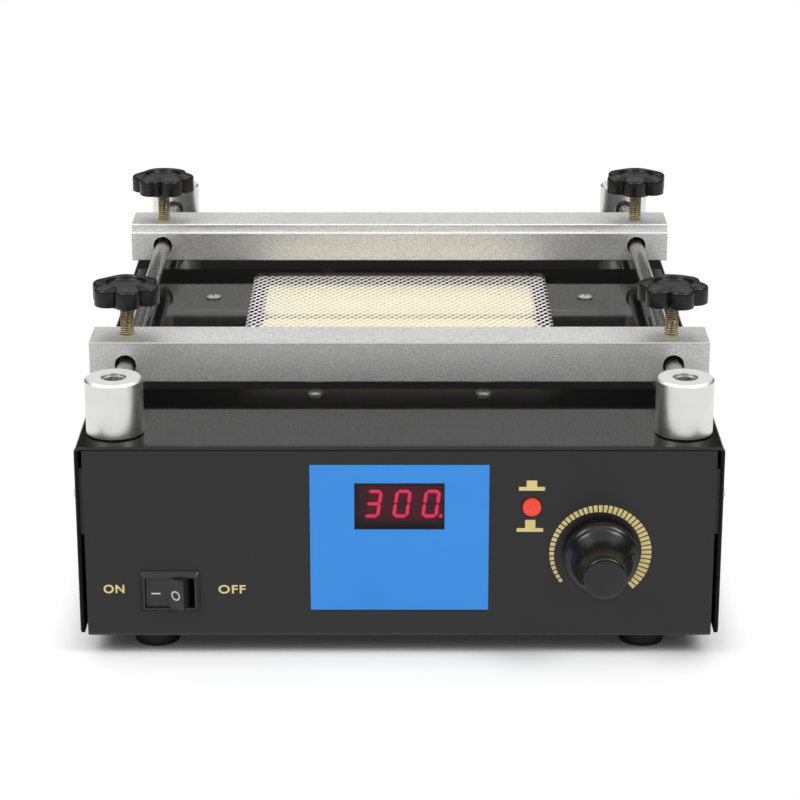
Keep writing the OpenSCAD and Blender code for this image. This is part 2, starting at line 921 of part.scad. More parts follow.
// Outline of the star: a round core with a lobe on every side
module star_outline() {
    circle(star_d / 2 - valley);
    for (i = [0 : star_lobes - 1])
        rotate(i * 360 / star_lobes)
            translate([star_d / 4, 0])
                rounded_rect(star_d / 2, lobe_w, lobe_r);
}

// Half section of the star knob: hub, rounded rim, raised ring and dish
module star_section() {
    r = star_d / 2;
    rim = hub_h + lobe_h;
    crown = rim + ring_h;
    slope = ring_r - dish_r;
    rim_arc = [for (a = [0 : 15 : 90]) [r - lobe_round * (1 - cos(a)), rim - lobe_round * (1 - sin(a))]];
    dish = [for (t = [1 : -0.25 : 0]) [dish_r * t, crown - dish_h * (1 - t * t)]];
    polygon(concat(
        [[0, 0], [hub_d / 2, 0], [hub_d / 2, hub_h]],
        [[r - lobe_round / 2, hub_h], [r, hub_h + lobe_round / 2]],
        rim_arc,
        [[ring_r, rim], [ring_r - 0.55 * slope, crown - 0.2 * ring_h], [ring_r - 0.85 * slope, crown]],
        dish
    ));
}

module star_knob(sx, y, turn) {
    color("black")
        translate([sx * post_x, y, star_z])
            rotate(turn)
                difference() {
                    intersection() {
                        rotate_extrude()
                            star_section();
                        linear_extrude(2 * (hub_h + lobe_h))
                            star_outline();
                    }
                    translate([0, 0, -1])
                        cylinder(r = stud_d / 2 + fit, h = stud_grip + 1);
                }
}

module front_left_star_knob() star_knob(-1, front_bar_mid, star_turn_front_left);
module front_right_star_knob() star_knob(1, front_bar_mid, star_turn_front_right);
module rear_left_star_knob() star_knob(-1, rear_bar_mid, star_turn_rear_left);
module rear_right_star_knob() star_knob(1, rear_bar_mid, star_turn_rear_right);

// Heater

// Places of the screws that hang the pan under the cover
module at_pan_screws() {
    at_corners(pan_screw_x, pan_screw_pitch_y / 2)
        children();
    at_corners(pan_screw_pitch_x / 2, pan_screw_y)
        children();
}

// Diamond openings of the mesh, in two staggered grids
module mesh_openings() {
    nx = floor(pan_w / mesh_pitch_x / 2);
    ny = floor(pan_l / mesh_pitch_y / 2);
    hx = mesh_pitch_x / 2 - strand_w / 2;
    hy = hx * mesh_pitch_y / mesh_pitch_x;
    for (shift = [0, 0.5], i = [-nx : nx - 2 * shift], j = [-ny : ny - 2 * shift])
        translate([(i + shift) * mesh_pitch_x, (j + shift) * mesh_pitch_y])
            polygon([[-hx, 0], [0, -hy], [hx, 0], [0, hy]]);
}

module heater_mesh() {
    color("whitesmoke")
        translate([0, mid_y, under_z - mesh_t])
            linear_extrude(mesh_t)
                difference() {
                    square([mesh_w, mesh_l], center = true);
                    mesh_openings();
                }
}

module mesh_gasket() {
    color("tan")
        translate([0, mid_y, under_z - mesh_t])
            linear_extrude(mesh_t)
                difference() {
                    rounded_rect(flange_w, flange_l, flange_edge);
                    square([mesh_w + 2 * gap, mesh_l + 2 * gap], center = true);
                    at_pan_screws()
                        circle(r = screw_d / 2 + hole_fit);
                }
}

module reflector_pan() {
    color("lightgray")
        translate([0, mid_y, 0])
            difference() {
                union() {
                    translate([0, 0, flange_z])
                        linear_extrude(pan_sheet)
                            rounded_rect(flange_w, flange_l, flange_edge);
                    translate([0, 0, pan_z])
                        linear_extrude(pan_depth)
                            rounded_rect(pan_w + 2 * pan_sheet, pan_l + 2 * pan_sheet, pan_r + pan_sheet);
                }
                translate([0, 0, pan_floor_z])
                    linear_extrude(pan_depth)
                        rounded_rect(pan_w, pan_l, pan_r);
                translate([0, 0, pan_z - 1])
                    linear_extrude(pan_sheet + 2)
                        at_tiles()
                            square([stem_w + 2 * hole_fit, stem_l + 2 * hole_fit], center = true);
                translate([0, 0, flange_z - 1])
                    linear_extrude(pan_sheet + 2)
                        at_pan_screws()
                            circle(r = screw_d / 2 + hole_fit);
                translate([pan_w / 2 - 1, 0, probe_z])
                    rotate([0, 90, 0])
                        cylinder(r = probe_d / 2 + fit, h = pan_sheet + 2);
            }
}

// Places of the three tiles, front to back
module at_tiles() {
    for (i = [-1 : 1])
        translate([0, i * tile_step])
            children();
}

module pan_screws() {
    shank_l = sheet + mesh_t + pan_sheet + pan_nut_h + thread_end;
    color("silver")
        translate([0, mid_y, top_z])
            at_pan_screws()
                pan_screw(screw_d, shank_l, screw_head_d, screw_head_h);
}

module pan_nuts() {
    color("silver")
        translate([0, mid_y, flange_z - pan_nut_h])
            at_pan_screws()
                hex_nut(screw_d, 1.8 * screw_d, pan_nut_h);
}

// Ceramic tile with a bevelled face and a stem that passes through the pan and the pad
module heater_tile(i) {
    color("cornsilk")
        translate([0, mid_y + i * tile_step, 0]) {
            translate([0, 0, tile_z])
                hull() {
                    tile_slab(0, tile_t - tile_bevel);
                    tile_slab(tile_bevel, tile_t);
                }
            translate([0, 0, pan_floor_z])
                linear_extrude(tile_z - pan_floor_z)
                    square([stem_w + 2 * stem_shoulder, stem_l + 2 * stem_shoulder], center = true);
            translate([0, 0, clip_z - 2 * clip_t])
                linear_extrude(pan_floor_z - clip_z + 2 * clip_t)
                    square([stem_w, stem_l], center = true);
        }
}

module tile_slab(inset, h) {
    linear_extrude(h)
        rounded_rect(tile_w - 2 * inset, tile_l - 2 * inset, tile_r - inset, $fn = 32);
}

module rear_heater_tile() heater_tile(1);
module middle_heater_tile() heater_tile(0);
module front_heater_tile() heater_tile(-1);

module tile_clips() {
    color("silver")
        translate([0, mid_y, clip_z])
            linear_extrude(clip_t)
                at_tiles()
                    difference() {
                        rounded_rect(stem_w + 2 * clip_edge, stem_l + 2 * clip_edge, clip_edge / 2);
                        square([stem_w + 2 * fit, stem_l + 2 * fit], center = true);
                    }
}

module insulation_pad() {
    color("ivory")
        translate([0, mid_y, pad_z])
            linear_extrude(pad_t)
                difference() {
                    rounded_rect(pan_w, pan_l, pan_r);
                    at_tiles()
                        square([stem_w + 2 * hole_fit, stem_l + 2 * hole_fit], center = true);
                }
}

module temperature_probe() {
    color("gray")
        translate([pan_w / 2 - probe_in, mid_y, probe_z])
            rotate([0, 90, 0])
                cylinder(d = probe_d, h = probe_l);
}

// Display

module display_overlay() {
    color("dodgerblue")
        on_panel(0, 0)
            linear_extrude(overlay_t)
                difference() {
                    translate([0, overlay_z + overlay_h / 2])
                        square([overlay_w, overlay_h], center = true);
                    translate([0, digits_z])
                        square([lens_w, lens_h], center = true);
                }
}

module display_lens() {
    color("darkred")
        on_panel(0, digits_z)
            behind(0, lens_t)
                square([lens_w, lens_h], center = true);
}

module display_module() {
    color("black")
        on_panel(0, digits_z)
            behind(module_y, display_board_y)
                square([module_w, module_h], center = true);
}

// One straight segment from p to q with pointed ends
function segment(p, q) =
    let (
        u = (q - p) / norm(q - p),
        n = [-u[1], u[0]] * segment_w / 2,
        tip = 0.12 * segment_w,
        shoulder = 0.62 * segment_w
    )
    [p + u * tip, p + u * shoulder + n, q - u * shoulder + n, q - u * tip,
     q - u * shoulder - n, p + u * shoulder - n];

// Corners of a digit, as columns left and right by rows down to up
function digit_corner(col, row) =
    let (x = col * (digit_w - segment_w) / 2, y = row * (digit_h - segment_w) / 2)
    [x + y * tan(digit_slant), y];

module digit() {
    for (row = [-1 : 1])
        polygon(segment(digit_corner(-1, row), digit_corner(1, row)));
    for (col = [-1, 1], row = [-1, 0])
        polygon(segment(digit_corner(col, row), digit_corner(col, row + 1)));
    translate(digit_corner(1, -1) + [1.5 * segment_w, 0])
        circle(d = segment_w);
}

module display_digits() {
    color("red")
        on_panel(digit_x, digits_z)
            behind(module_y - segment_t, module_y)
                for (i = [-1 : 1])
                    translate([i * digit_pitch, 0])
                        digit();
}

module display_board() {
    color("darkgreen")
        on_panel(display_board_x, digits_z)
            behind(display_board_y, display_board_y + board_t)
                difference() {
                    square([display_board_w, display_board_h], center = true);
                    at_corners(display_board_w / 2 - standoff_inset, display_board_h / 2 - standoff_inset)
                        circle(r = screw_d / 2 + fit);
                }
}

module display_nuts() {
    color("silver")
        on_panel(display_board_x, digits_z)
            translate([0, 0, -display_board_y - board_t - pan_nut_h])
                at_corners(display_board_w / 2 - standoff_inset, display_board_h / 2 - standoff_inset)
                    hex_nut(screw_d, 1.6 * screw_d, pan_nut_h);
}

// Controls

module switch_housing() {
    color([0.15, 0.15, 0.16])
        on_panel(switch_x, switch_z)
            difference() {
                union() {
                    hull() {
                        bezel_slab(0, 0.2 * bezel_t);
                        bezel_slab(bezel_slope, bezel_t);
                    }
                    behind(0, switch_d)
                        square([switch_body_w, switch_body_h], center = true);
                }
                translate([-cavity_w / 2, -cavity_h / 2, -cavity_d])
                    cube([cavity_w, cavity_h, cavity_d + 2 * bezel_t]);
                translate([0, -switch_h, -rocker_pivot])
                    rotate([-90, 0, 0])
                        cylinder(r = pivot_d / 2 + fit, h = 2 * switch_h);
            }
}

// Slab of the bezel, smaller by an inset on every side
module bezel_slab(inset, h) {
    linear_extrude(h)
        rounded_rect(switch_w - 2 * inset, switch_h - 2 * inset, bezel_border - inset / 2, $fn = 16);
}

module switch_terminals() {
    color("silver")
        on_panel(switch_x, switch_z)
            for (sx = [-1, 1])
                translate([sx * switch_body_w / 4, 0])
                    behind(switch_d, switch_d + tab_l)
                        square([tab_t, tab_w], center = true);
}

// Rocker with its left side pressed in. Its two flat faces meet in a crease over the pivot.
module rocker() {
    end_x = rocker_l * cos(rocker_tilt);
    end_y = rocker_crease + rocker_l * sin(rocker_tilt);
    color([0.2, 0.2, 0.21])
        on_panel(switch_x, switch_z)
            rotate([90, 0, 0])
                translate([0, -rocker_pivot, -rocker_h / 2]) {
                    linear_extrude(rocker_h)
                        rotate(rocker_tilt)
                            polygon([
                                [-end_x, -pivot_d], [end_x, -pivot_d], [end_x, end_y],
                                [0, rocker_crease], [-end_x, end_y]
                            ]);
                    translate([0, 0, -pivot_pin_l])
                        cylinder(d = pivot_d, h = rocker_h + 2 * pivot_pin_l);
                }
}

module push_button() {
    color("red")
        on_panel(button_x, button_z)
            difference() {
                union() {
                    translate([0, 0, -button_depth])
                        cylinder(d = button_d, h = button_depth + button_reach);
                    behind(button_depth, button_switch_y + plunger_in)
                        circle(d = plunger_d);
                }
                translate([0, 0, button_reach + 2.5 * button_d - button_dish])
                    sphere(2.5 * button_d);
            }
}

module button_switch() {
    color("dimgray")
        on_panel(button_x, button_z)
            difference() {
                behind(button_switch_y, display_board_y)
                    square([button_switch_w, button_switch_w], center = true);
                behind(button_switch_y - 1, button_switch_y + plunger_in + button_travel + gap)
                    circle(r = plunger_d / 2 + fit);
            }
}

// Half section of the temperature knob: a skirt, a hollow and a stem with a flat cap
module knob_section() {
    skirt_r = skirt_d / 2;
    edge = 0.1 * skirt_t;
    hollow_x = grip_d / 2 + hollow_r;
    hollow_z = knob_base + edge / 2 + hollow_r;
    rim_arc = [for (a = [0 : 30 : 90]) [skirt_r - edge * (1 - cos(a)), knob_base - edge * (1 - sin(a))]];
    hollow_arc = [for (a = [0 : 15 : 90]) [hollow_x - hollow_r * sin(a), hollow_z - hollow_r * cos(a)]];
    cap_arc = [for (a = [0 : 15 : 90])
        [cap_d / 2 - cap_round * (1 - cos(a)), knob_reach - cap_round * (1 - sin(a))]];
    polygon(concat(
        [[0, knob_gap], [skirt_r - edge / 3, knob_gap], [skirt_r, knob_gap + edge]],
        rim_arc,
        hollow_arc,
        cap_arc,
        [[0, knob_reach]]
    ));
}

module temperature_knob() {
    nub_r = grip_d / 2 + 0.85 * hollow_r;
    color([0.1, 0.1, 0.11])
        on_panel(dial_x, dial_z)
            difference() {
                union() {
                    rotate_extrude()
                        knob_section();
                    rotate(nub_turn)
                        translate([nub_r, 0, knob_base - nub_d]) {
                            cylinder(d = nub_d, h = 1.4 * nub_d);
                            translate([0, 0, 1.4 * nub_d])
                                sphere(d = nub_d);
                        }
                }
                cylinder(d = nut_room_d, h = bush_reach + gap);
                cylinder(r = shaft_d / 2 + fit, h = shaft_tip + gap);
            }
}

module control_shaft() {
    color("silver")
        on_panel(dial_x, dial_z)
            translate([0, 0, -sheet - pot_t / 2])
                cylinder(d = shaft_d, h = sheet + pot_t / 2 + shaft_tip);
}

module potentiometer() {
    color("darkgray")
        on_panel(dial_x, dial_z)
            difference() {
                union() {
                    behind(sheet, sheet + pot_t)
                        circle(d = pot_d);
                    translate([0, 0, -sheet - 1])
                        cylinder(d = bush_d, h = sheet + 1 + bush_reach);
                    for (i = [-1 : 1])
                        translate([i * pot_d / 4, -pot_d / 2 - 2, -sheet - pot_t / 2])
                            cube([1.6, 8, 0.8], center = true);
                }
                translate([0, 0, -sheet - pot_t / 2 - gap])
                    cylinder(r = shaft_d / 2 + fit, h = knob_reach);
            }
}

module bush_nut_ring() {
    color("silver")
        on_panel(dial_x, dial_z)
            hex_nut(bush_d, bush_nut, bush_nut_t);
}

// Electronics

module control_board() {
    color("darkgreen")
        translate([0, board_mid_y, board_z])
            linear_extrude(board_t)
                difference() {
                    square([board_w, board_l], center = true);
                    at_corners(board_w / 2 - standoff_inset, board_l / 2 - standoff_inset)
                        circle(r = screw_d / 2 + fit);
                }
}

// Hexagon spacers with a threaded pin at each end
module board_standoffs() {
    color("gold")
        translate([0, board_mid_y, floor_z])
            at_corners(board_w / 2 - standoff_inset, board_l / 2 - standoff_inset) {
                cylinder(d = standoff_w / cos(30), h = standoff_h, $fn = 6);
                translate([0, 0, -sheet])
                    cylinder(d = screw_d, h = sheet + standoff_h + 2 * board_t);
            }
}

// Laminated core with a wound bobbin through it
module transformer() {
    color("sienna")
        translate([0, board_mid_y, board_top]) {
            linear_extrude(transformer_h)
                square([transformer_w, transformer_l / 2], center = true);
            translate([0, 0, transformer_h / 6])
                linear_extrude(transformer_h * 2 / 3)
                    rounded_rect(transformer_w * 2 / 3, transformer_l, 3);
        }
}

// Finned heatsink with the power switch screwed flat on its back
module heatsink() {
    width = fin_n * fin_pitch;
    color("darkgray")
        translate([board_w / 3, board_mid_y, board_top]) {
            translate([-width / 2, 0, 0])
                cube([width, sink_base, heatsink_h]);
            for (i = [0 : fin_n - 1])
                translate([(i + 0.5) * fin_pitch - width / 2 - fin_t / 2, -fin_l, 0])
                    cube([fin_t, fin_l + sink_base / 2, heatsink_h]);
            translate([-triac_w / 2, sink_base, (heatsink_h - triac_h) / 3])
                cube([triac_w, triac_t, triac_h]);
        }
}

module terminal_block() {
    length = pole_n * pole_w;
    color("seagreen")
        translate([-board_w / 3, board_mid_y, board_top])
            difference() {
                translate([-length / 2, -block_l / 2, 0])
                    cube([length, block_l, block_h]);
                for (i = [0 : pole_n - 1])
                    translate([(i + 0.5) * pole_w - length / 2, 0, 0]) {
                        translate([0, 0, block_h * 2 / 3])
                            cylinder(d = pole_w / 2, h = block_h);
                        translate([-pole_w / 4, -block_l, block_h / 6])
                            cube([pole_w / 2, block_l, block_h / 3]);
                    }
            }
}

// Rear panel

// Outline of the socket, with the two upper corners cut off
module socket_outline(grow) {
    w = socket_w / 2 + grow;
    h = socket_h / 2 + grow;
    c = socket_h / 3;
    polygon([[-w, -h], [w, -h], [w, h - c], [w - c, h], [c - w, h], [-w, h - c]]);
}

module mains_inlet() {
    color([0.12, 0.12, 0.13])
        on_rear(inlet_x, inlet_z)
            difference() {
                union() {
                    linear_extrude(inlet_t)
                        rounded_rect(inlet_w, inlet_h, 3);
                    behind(0, socket_d + socket_wall)
                        socket_outline(socket_wall);
                }
                translate([0, 0, inlet_t - socket_d])
                    linear_extrude(socket_d + 1)
                        socket_outline(0);
                for (sx = [-1, 1])
                    translate([sx * inlet_pitch / 2, 0, -1])
                        cylinder(r = screw_d / 2 + hole_fit, h = inlet_t + 2);
                at_inlet_pins()
                    translate([0, 0, -socket_d - socket_wall - 1])
                        linear_extrude(socket_d + socket_wall)
                            square([pin_t + 2 * fit, pin_h + 2 * fit], center = true);
            }
}

module at_inlet_pins() {
    for (i = [-1 : 1])
        translate([i * pin_pitch, (0.5 - abs(i)) * pin_rise, 0])
            children();
}

module inlet_pins() {
    color("silver")
        on_rear(inlet_x, inlet_z)
            at_inlet_pins()
                behind(pin_sink, socket_d + socket_wall + pin_tail)
                    square([pin_t, pin_h], center = true);
}

module inlet_screws() {
    color("silver")
        on_rear(inlet_x, inlet_z)
            for (sx = [-1, 1])
                translate([sx * inlet_pitch / 2, 0, inlet_t])
                    pan_screw(screw_d, inlet_t + sheet + 3, 0.9 * screw_head_d, screw_head_h);
}

module fuse_holder() {
    color([0.12, 0.12, 0.13])
        on_rear(fuse_x, inlet_z)
            difference() {
                union() {
                    cylinder(d = fuse_cap_d + 2, h = 2);
                    behind(0, fuse_in)
                        circle(d = fuse_d);
                }
                translate([0, 0, 2 - fuse_in])
                    cylinder(d = fuse_d - 4, h = fuse_in + 1);
            }
}

// Screw cap with a coin slot and a plug that reaches into the holder
module fuse_cap() {
    color([0.1, 0.1, 0.1])
        on_rear(fuse_x, inlet_z)
            difference() {
                union() {
                    translate([0, 0, 2])
                        cylinder(d = fuse_cap_d, h = fuse_reach - 2);
                    translate([0, 0, -6])
                        cylinder(d = fuse_d - 4 - 2 * fit, h = 9);
                }
                for (i = [0 : 11])
                    rotate(i * 30)
                        translate([fuse_cap_d / 2 + 0.4, 0, 3])
                            cylinder(d = 2, h = fuse_reach);
                translate([0, 0, fuse_reach])
                    cube([0.7 * fuse_cap_d, 1.6, 3], center = true);
            }
}

chassis_tray();
top_cover();
cover_screws();
rubber_feet();
foot_screws();
front_left_post();
front_right_post();
rear_left_post();
rear_right_post();
post_screws();
post_nuts();
left_guide_rod();
right_guide_rod();
front_clamp_bar();
rear_clamp_bar();
front_left_stud();
front_right_stud();
rear_left_stud();
rear_right_stud();
front_left_star_knob();
front_right_star_knob();
rear_left_star_knob();
rear_right_star_knob();
heater_mesh();
mesh_gasket();
reflector_pan();
pan_screws();
pan_nuts();
rear_heater_tile();
middle_heater_tile();
front_heater_tile();
tile_clips();
insulation_pad();
temperature_probe();
display_overlay();
display_lens();
display_module();
display_digits();
display_board();
display_nuts();
switch_housing();
switch_terminals();
rocker();
push_button();
button_switch();
temperature_knob();
control_shaft();
potentiometer();
bush_nut_ring();
control_board();
board_standoffs();
transformer();
heatsink();
terminal_block();
mains_inlet();
inlet_pins();
inlet_screws();
fuse_holder();
fuse_cap();
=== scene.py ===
# %% [markdown]
# # A preheater for circuit boards
#
# On the real object a bent steel case holds three ceramic heaters under a mesh, and two clamp bars slide
# on rods to hold a circuit board over the heat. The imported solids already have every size, place and joint,
# so they are loaded as a fixed frame. This lesson adds what solids lack: finishes, threads, a fine mesh,
# printed marks and light.

# %% Load the frame
import math

import bpy
import numpy as np
from mathutils import Matrix, Vector


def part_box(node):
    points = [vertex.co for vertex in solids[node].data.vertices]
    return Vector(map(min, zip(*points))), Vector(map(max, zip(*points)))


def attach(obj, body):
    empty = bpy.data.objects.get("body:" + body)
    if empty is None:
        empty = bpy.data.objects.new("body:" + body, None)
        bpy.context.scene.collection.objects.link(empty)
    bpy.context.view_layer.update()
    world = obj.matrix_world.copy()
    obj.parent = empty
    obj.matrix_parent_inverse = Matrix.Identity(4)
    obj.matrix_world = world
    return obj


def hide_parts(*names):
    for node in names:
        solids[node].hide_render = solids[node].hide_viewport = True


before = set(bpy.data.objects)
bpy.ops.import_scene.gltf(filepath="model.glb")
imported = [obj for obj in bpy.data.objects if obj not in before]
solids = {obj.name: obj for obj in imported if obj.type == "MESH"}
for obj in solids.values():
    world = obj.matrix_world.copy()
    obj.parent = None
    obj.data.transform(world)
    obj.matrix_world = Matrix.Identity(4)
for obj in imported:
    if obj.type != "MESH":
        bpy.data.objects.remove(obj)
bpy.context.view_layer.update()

scene = bpy.context.scene
MM = 0.001


def middle(node):
    """Centre, lowest and highest corner of a solid, in millimetres."""
    low, high = (np.array(corner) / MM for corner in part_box(node))
    return (low + high) / 2, low, high


# %% [markdown]
# ## The camera
#
# The view could be set by eye, but a camera is a pinhole: where the known corners of the case fall in
# a picture fixes its place, its tilt and its lens. These numbers were solved from such corners, in
# millimetres and degrees.

# %% Camera
EYE = (0.2, -1004.1, 387.2)
PITCH = math.radians(18.764)
FOCAL_LENGTH, SENSOR_WIDTH = 121.0, 36.0

lens = bpy.data.cameras.new("camera")
lens.lens, lens.sensor_width = FOCAL_LENGTH, SENSOR_WIDTH
camera = bpy.data.objects.new("camera", lens)
scene.collection.objects.link(camera)
camera.matrix_world = (
    Matrix.Translation(Vector(EYE) * MM) @ Matrix.Rotation(math.pi / 2 - PITCH, 4, "X")
)
scene.camera = camera
scene.view_settings.view_transform = "Standard"
print("camera", round(Vector(EYE).length / 1000, 3), "m from the middle")

# %% [markdown]
# ## Shader maths as plain expressions
#
# A finish is a small graph of nodes. Wiring it node by node hides the idea, so one class wraps a socket
# and lets Python's own operators add the Math nodes, and one method makes any other node from its settings
# and sockets.

# %% Values and nodes


class Value:
    """One output of a node. Sums and products of values add Math nodes."""

    def __init__(self, nodes, socket):
        self.nodes, self.socket = nodes, socket

    def beside(self, output):
        """Another output of the same node."""
        return Value(self.nodes, self.socket.node.outputs[output])

    def maths(self, operation, *parts):
        return self.nodes.node("ShaderNodeMath", {"operation": operation}, dict(enumerate(parts)))

    def __add__(self, other):
        return self.maths("ADD", self, other)

    def __sub__(self, other):
        return self.maths("SUBTRACT", self, other)

    def __rsub__(self, other):
        return self.maths("SUBTRACT", other, self)

    def __mul__(self, other):
        return self.maths("MULTIPLY", self, other)

    def __abs__(self):
        return self.maths("ABSOLUTE", self)

    __radd__, __rmul__ = __add__, __mul__


class Nodes:
    """Adds nodes to one node tree."""

    def __init__(self, tree):
        self.tree = tree

    def feed(self, socket, given):
        """Links a value to a socket, or sets a plain number or colour on it."""
        if isinstance(given, Value):
            self.tree.links.new(given.socket, socket)
        else:
            socket.default_value = given

    def node(self, kind, settings=None, sockets=None, out=0):
        """Any node: its settings first, then what its sockets get. Returns one of its outputs."""
        made = self.tree.nodes.new(kind)
        for name, setting in (settings or {}).items():
            setattr(made, name, setting)
        for name, given in (sockets or {}).items():
            self.feed(made.inputs[name], given)
        return Value(self, made.outputs[out])

    def ease(self, value, low, high, start=0.0, end=1.0):
        """Goes smoothly from start to end while the value goes from low to high."""
        return self.node(
            "ShaderNodeMapRange",
            {"interpolation_type": "SMOOTHSTEP"},
            {"Value": value, "From Min": low, "From Max": high, "To Min": start, "To Max": end},
        )

    def mix(self, share, first, second):
        """Goes from the first colour to the second as the share goes from 0 to 1."""
        return self.node("ShaderNodeMix", {"data_type": "RGBA"}, {0: share, 6: first, 7: second}, 2)


print("values add, subtract and multiply; nodes ease and mix")

# %% [markdown]
# ## A finish measured in millimetres
#
# Every finish starts from one Principled shader. Its patterns read the Object coordinates, times
# a thousand, so that a grain of 0.5 is half a millimetre on every piece, and no picture has to be wrapped
# on anything.

# %% Finishes


class Finish(Nodes):
    """A material whose patterns are laid out in millimetres on the piece."""

    def __init__(self, name):
        self.material = bpy.data.materials.new(name)
        self.material.use_nodes = True
        super().__init__(self.material.node_tree)
        self.shader = self.tree.nodes["Principled BSDF"]
        place = self.node("ShaderNodeTexCoord", out="Object")
        self.spot = self.node("ShaderNodeVectorMath", {"operation": "SCALE"}, {0: place, "Scale": 1 / MM})

    def axes(self):
        """The coordinates x, y and z of a point, in millimetres."""
        x = self.node("ShaderNodeSeparateXYZ", {}, {0: self.spot}, "X")
        return x, x.beside("Y"), x.beside("Z")

    def noise(self, size, detail=2.0, spot=None):
        """Cloudy noise around 0.5 whose lumps are about that size."""
        return self.node(
            "ShaderNodeTexNoise", {}, {"Vector": spot or self.spot, "Scale": 1 / size, "Detail": detail}
        )

    def drawn_out(self, x, y, z):
        """The place on the piece with each axis divided, for a pattern that is drawn out along an axis."""
        return self.node("ShaderNodeVectorMath", {"operation": "DIVIDE"}, {0: self.spot, 1: (x, y, z)})

    def relief(self, height, depth):
        """Bump whose height from 0 to 1 stands for a depth in millimetres."""
        return self.node("ShaderNodeBump", {}, {"Height": height, "Distance": depth * MM, "Strength": 1.0})

    def set(self, **sockets):
        """Feeds the shader; base_color stands for its socket Base Color, and so on."""
        for name, given in sockets.items():
            self.feed(self.shader.inputs[name.replace("_", " ").title().replace("Ior", "IOR")], given)
        return self

    def show(self, shader):
        """Makes another shader the surface of the material."""
        self.feed(self.tree.nodes["Material Output"].inputs["Surface"], shader)


def ink(red, green, blue):
    """A colour as a screen shows it, from 0 to 255, turned into the linear light that shaders work in."""
    shown = np.array([red, green, blue]) / 255
    return (*np.where(shown < 0.04045, shown / 12.92, ((shown + 0.055) / 1.055) ** 2.4).tolist(), 1.0)


def grey(level):
    """A neutral linear colour."""
    return (level, level, level, 1.0)


def dress(finish, *names):
    """Puts a finish on solids of the frame."""
    for name in names:
        slots = solids[name].data.materials
        slots.clear()
        slots.append(finish.material)
    print(finish.material.name, "on", len(names), "solids")


print("finishes are laid out in millimetres")

# %% [markdown]
# ## The studio
#
# The object stands on a white table in soft light. A bright world alone would leave the black paint flat,
# so the world is dark at the horizon, and two large soft boxes stand to the left and right above the
# camera. The table is a plain pale surface near the case, where it takes the shadow, and turns to white
# for the camera further out.

# %% World
HORIZON_LEVEL, HIGH_LEVEL, ZENITH_DROP = 0.06, 1.55, 0.65


def studio_world():
    """White behind the object; for other rays dim at the horizon, bright half way up, calmer overhead."""
    world = bpy.data.worlds.new("studio")
    world.use_nodes = True
    scene.world = world
    sky = Nodes(world.node_tree)
    seen = sky.node("ShaderNodeLightPath", out="Is Camera Ray")
    direction = sky.node("ShaderNodeTexCoord", out="Generated")
    up = sky.node("ShaderNodeSeparateXYZ", {}, {0: direction}, "Z")
    level = sky.ease(up, 0.30, 0.80, HORIZON_LEVEL, HIGH_LEVEL) - sky.ease(up, 0.80, 0.97, 0.0, ZENITH_DROP)
    sky.feed(world.node_tree.nodes["Background"].inputs["Color"], grey(1.0))
    sky.feed(world.node_tree.nodes["Background"].inputs["Strength"], seen + (1 - seen) * level)
    print("world made")


studio_world()

# %% Lamps
LAMP_AIM, LAMP_SIZE, LAMP_WATTS = Vector((0, 0, 0.06)), (0.5, 0.65), 9.0


def soft_box(name, place):
    """A rectangular lamp that looks at the object; places and sizes are in metres."""
    lamp = bpy.data.lights.new(name, "AREA")
    lamp.shape, lamp.size, lamp.size_y, lamp.energy = "RECTANGLE", *LAMP_SIZE, LAMP_WATTS
    holder = bpy.data.objects.new(name, lamp)
    holder.location = place
    holder.rotation_euler = (LAMP_AIM - Vector(place)).to_track_quat("-Z", "Y").to_euler()
    holder.visible_camera = False
    scene.collection.objects.link(holder)
    print(name, "at", place)


soft_box("left_soft_box", (-0.95, -0.75, 1.15))
soft_box("right_soft_box", (0.95, -0.75, 1.15))

# %% Table
TABLE_HALF = 4.0  # metres
SIDE_FADE, END_FADE, UNDER_GLOW = (0.0, 14.0), (-6.0, 36.0), 0.02  # millimetres from the case


def table_top():
    """A square of pale board; the emission fades in with the distance from the case."""
    mesh = bpy.data.meshes.new("table_top")
    corners = [(x * TABLE_HALF, y * TABLE_HALF, 0) for x, y in ((-1, -1), (1, -1), (1, 1), (-1, 1))]
    mesh.from_pydata(corners, [], [(0, 1, 2, 3)])
    table = bpy.data.objects.new("table_top", mesh)
    scene.collection.objects.link(table)
    white = Finish("table_white").set(base_color=grey(0.90), roughness=0.6)
    x, y, _ = white.axes()
    centre, _, high = middle("top_cover")
    beside = white.ease(abs(x) - float(high[0]), *SIDE_FADE)
    before = white.ease(abs(y - float(centre[1])) - float(high[1] - centre[1]), *END_FADE, UNDER_GLOW, 1.0)
    away = beside.maths("MAXIMUM", beside, before)
    seen = white.node("ShaderNodeLightPath", out="Is Camera Ray")
    seen = seen + seen.beside("Is Glossy Ray") + seen.beside("Is Transmission Ray")
    glow = white.node("ShaderNodeEmission", {}, {"Color": grey(1.0), "Strength": 1.0})
    shown = white.node(
        "ShaderNodeMixShader",
        {},
        {0: away * seen.maths("MINIMUM", seen, 1.0), 1: Value(white, white.shader.outputs[0]), 2: glow},
    )
    white.show(shown)
    mesh.materials.append(white.material)
    print("table made")


table_top()

# %% [markdown]
# ## Paint on the case
#
# The cover is glossy black paint: it mirrors the bars, and a faint orange peel makes the images waver.
# The front and rear panels are one sheet with a finer, duller powder coat. Both are black with a little
# grain; the greys that show in them are reflections, so they come from the shader, not from the colour.

# %% Cover and panels


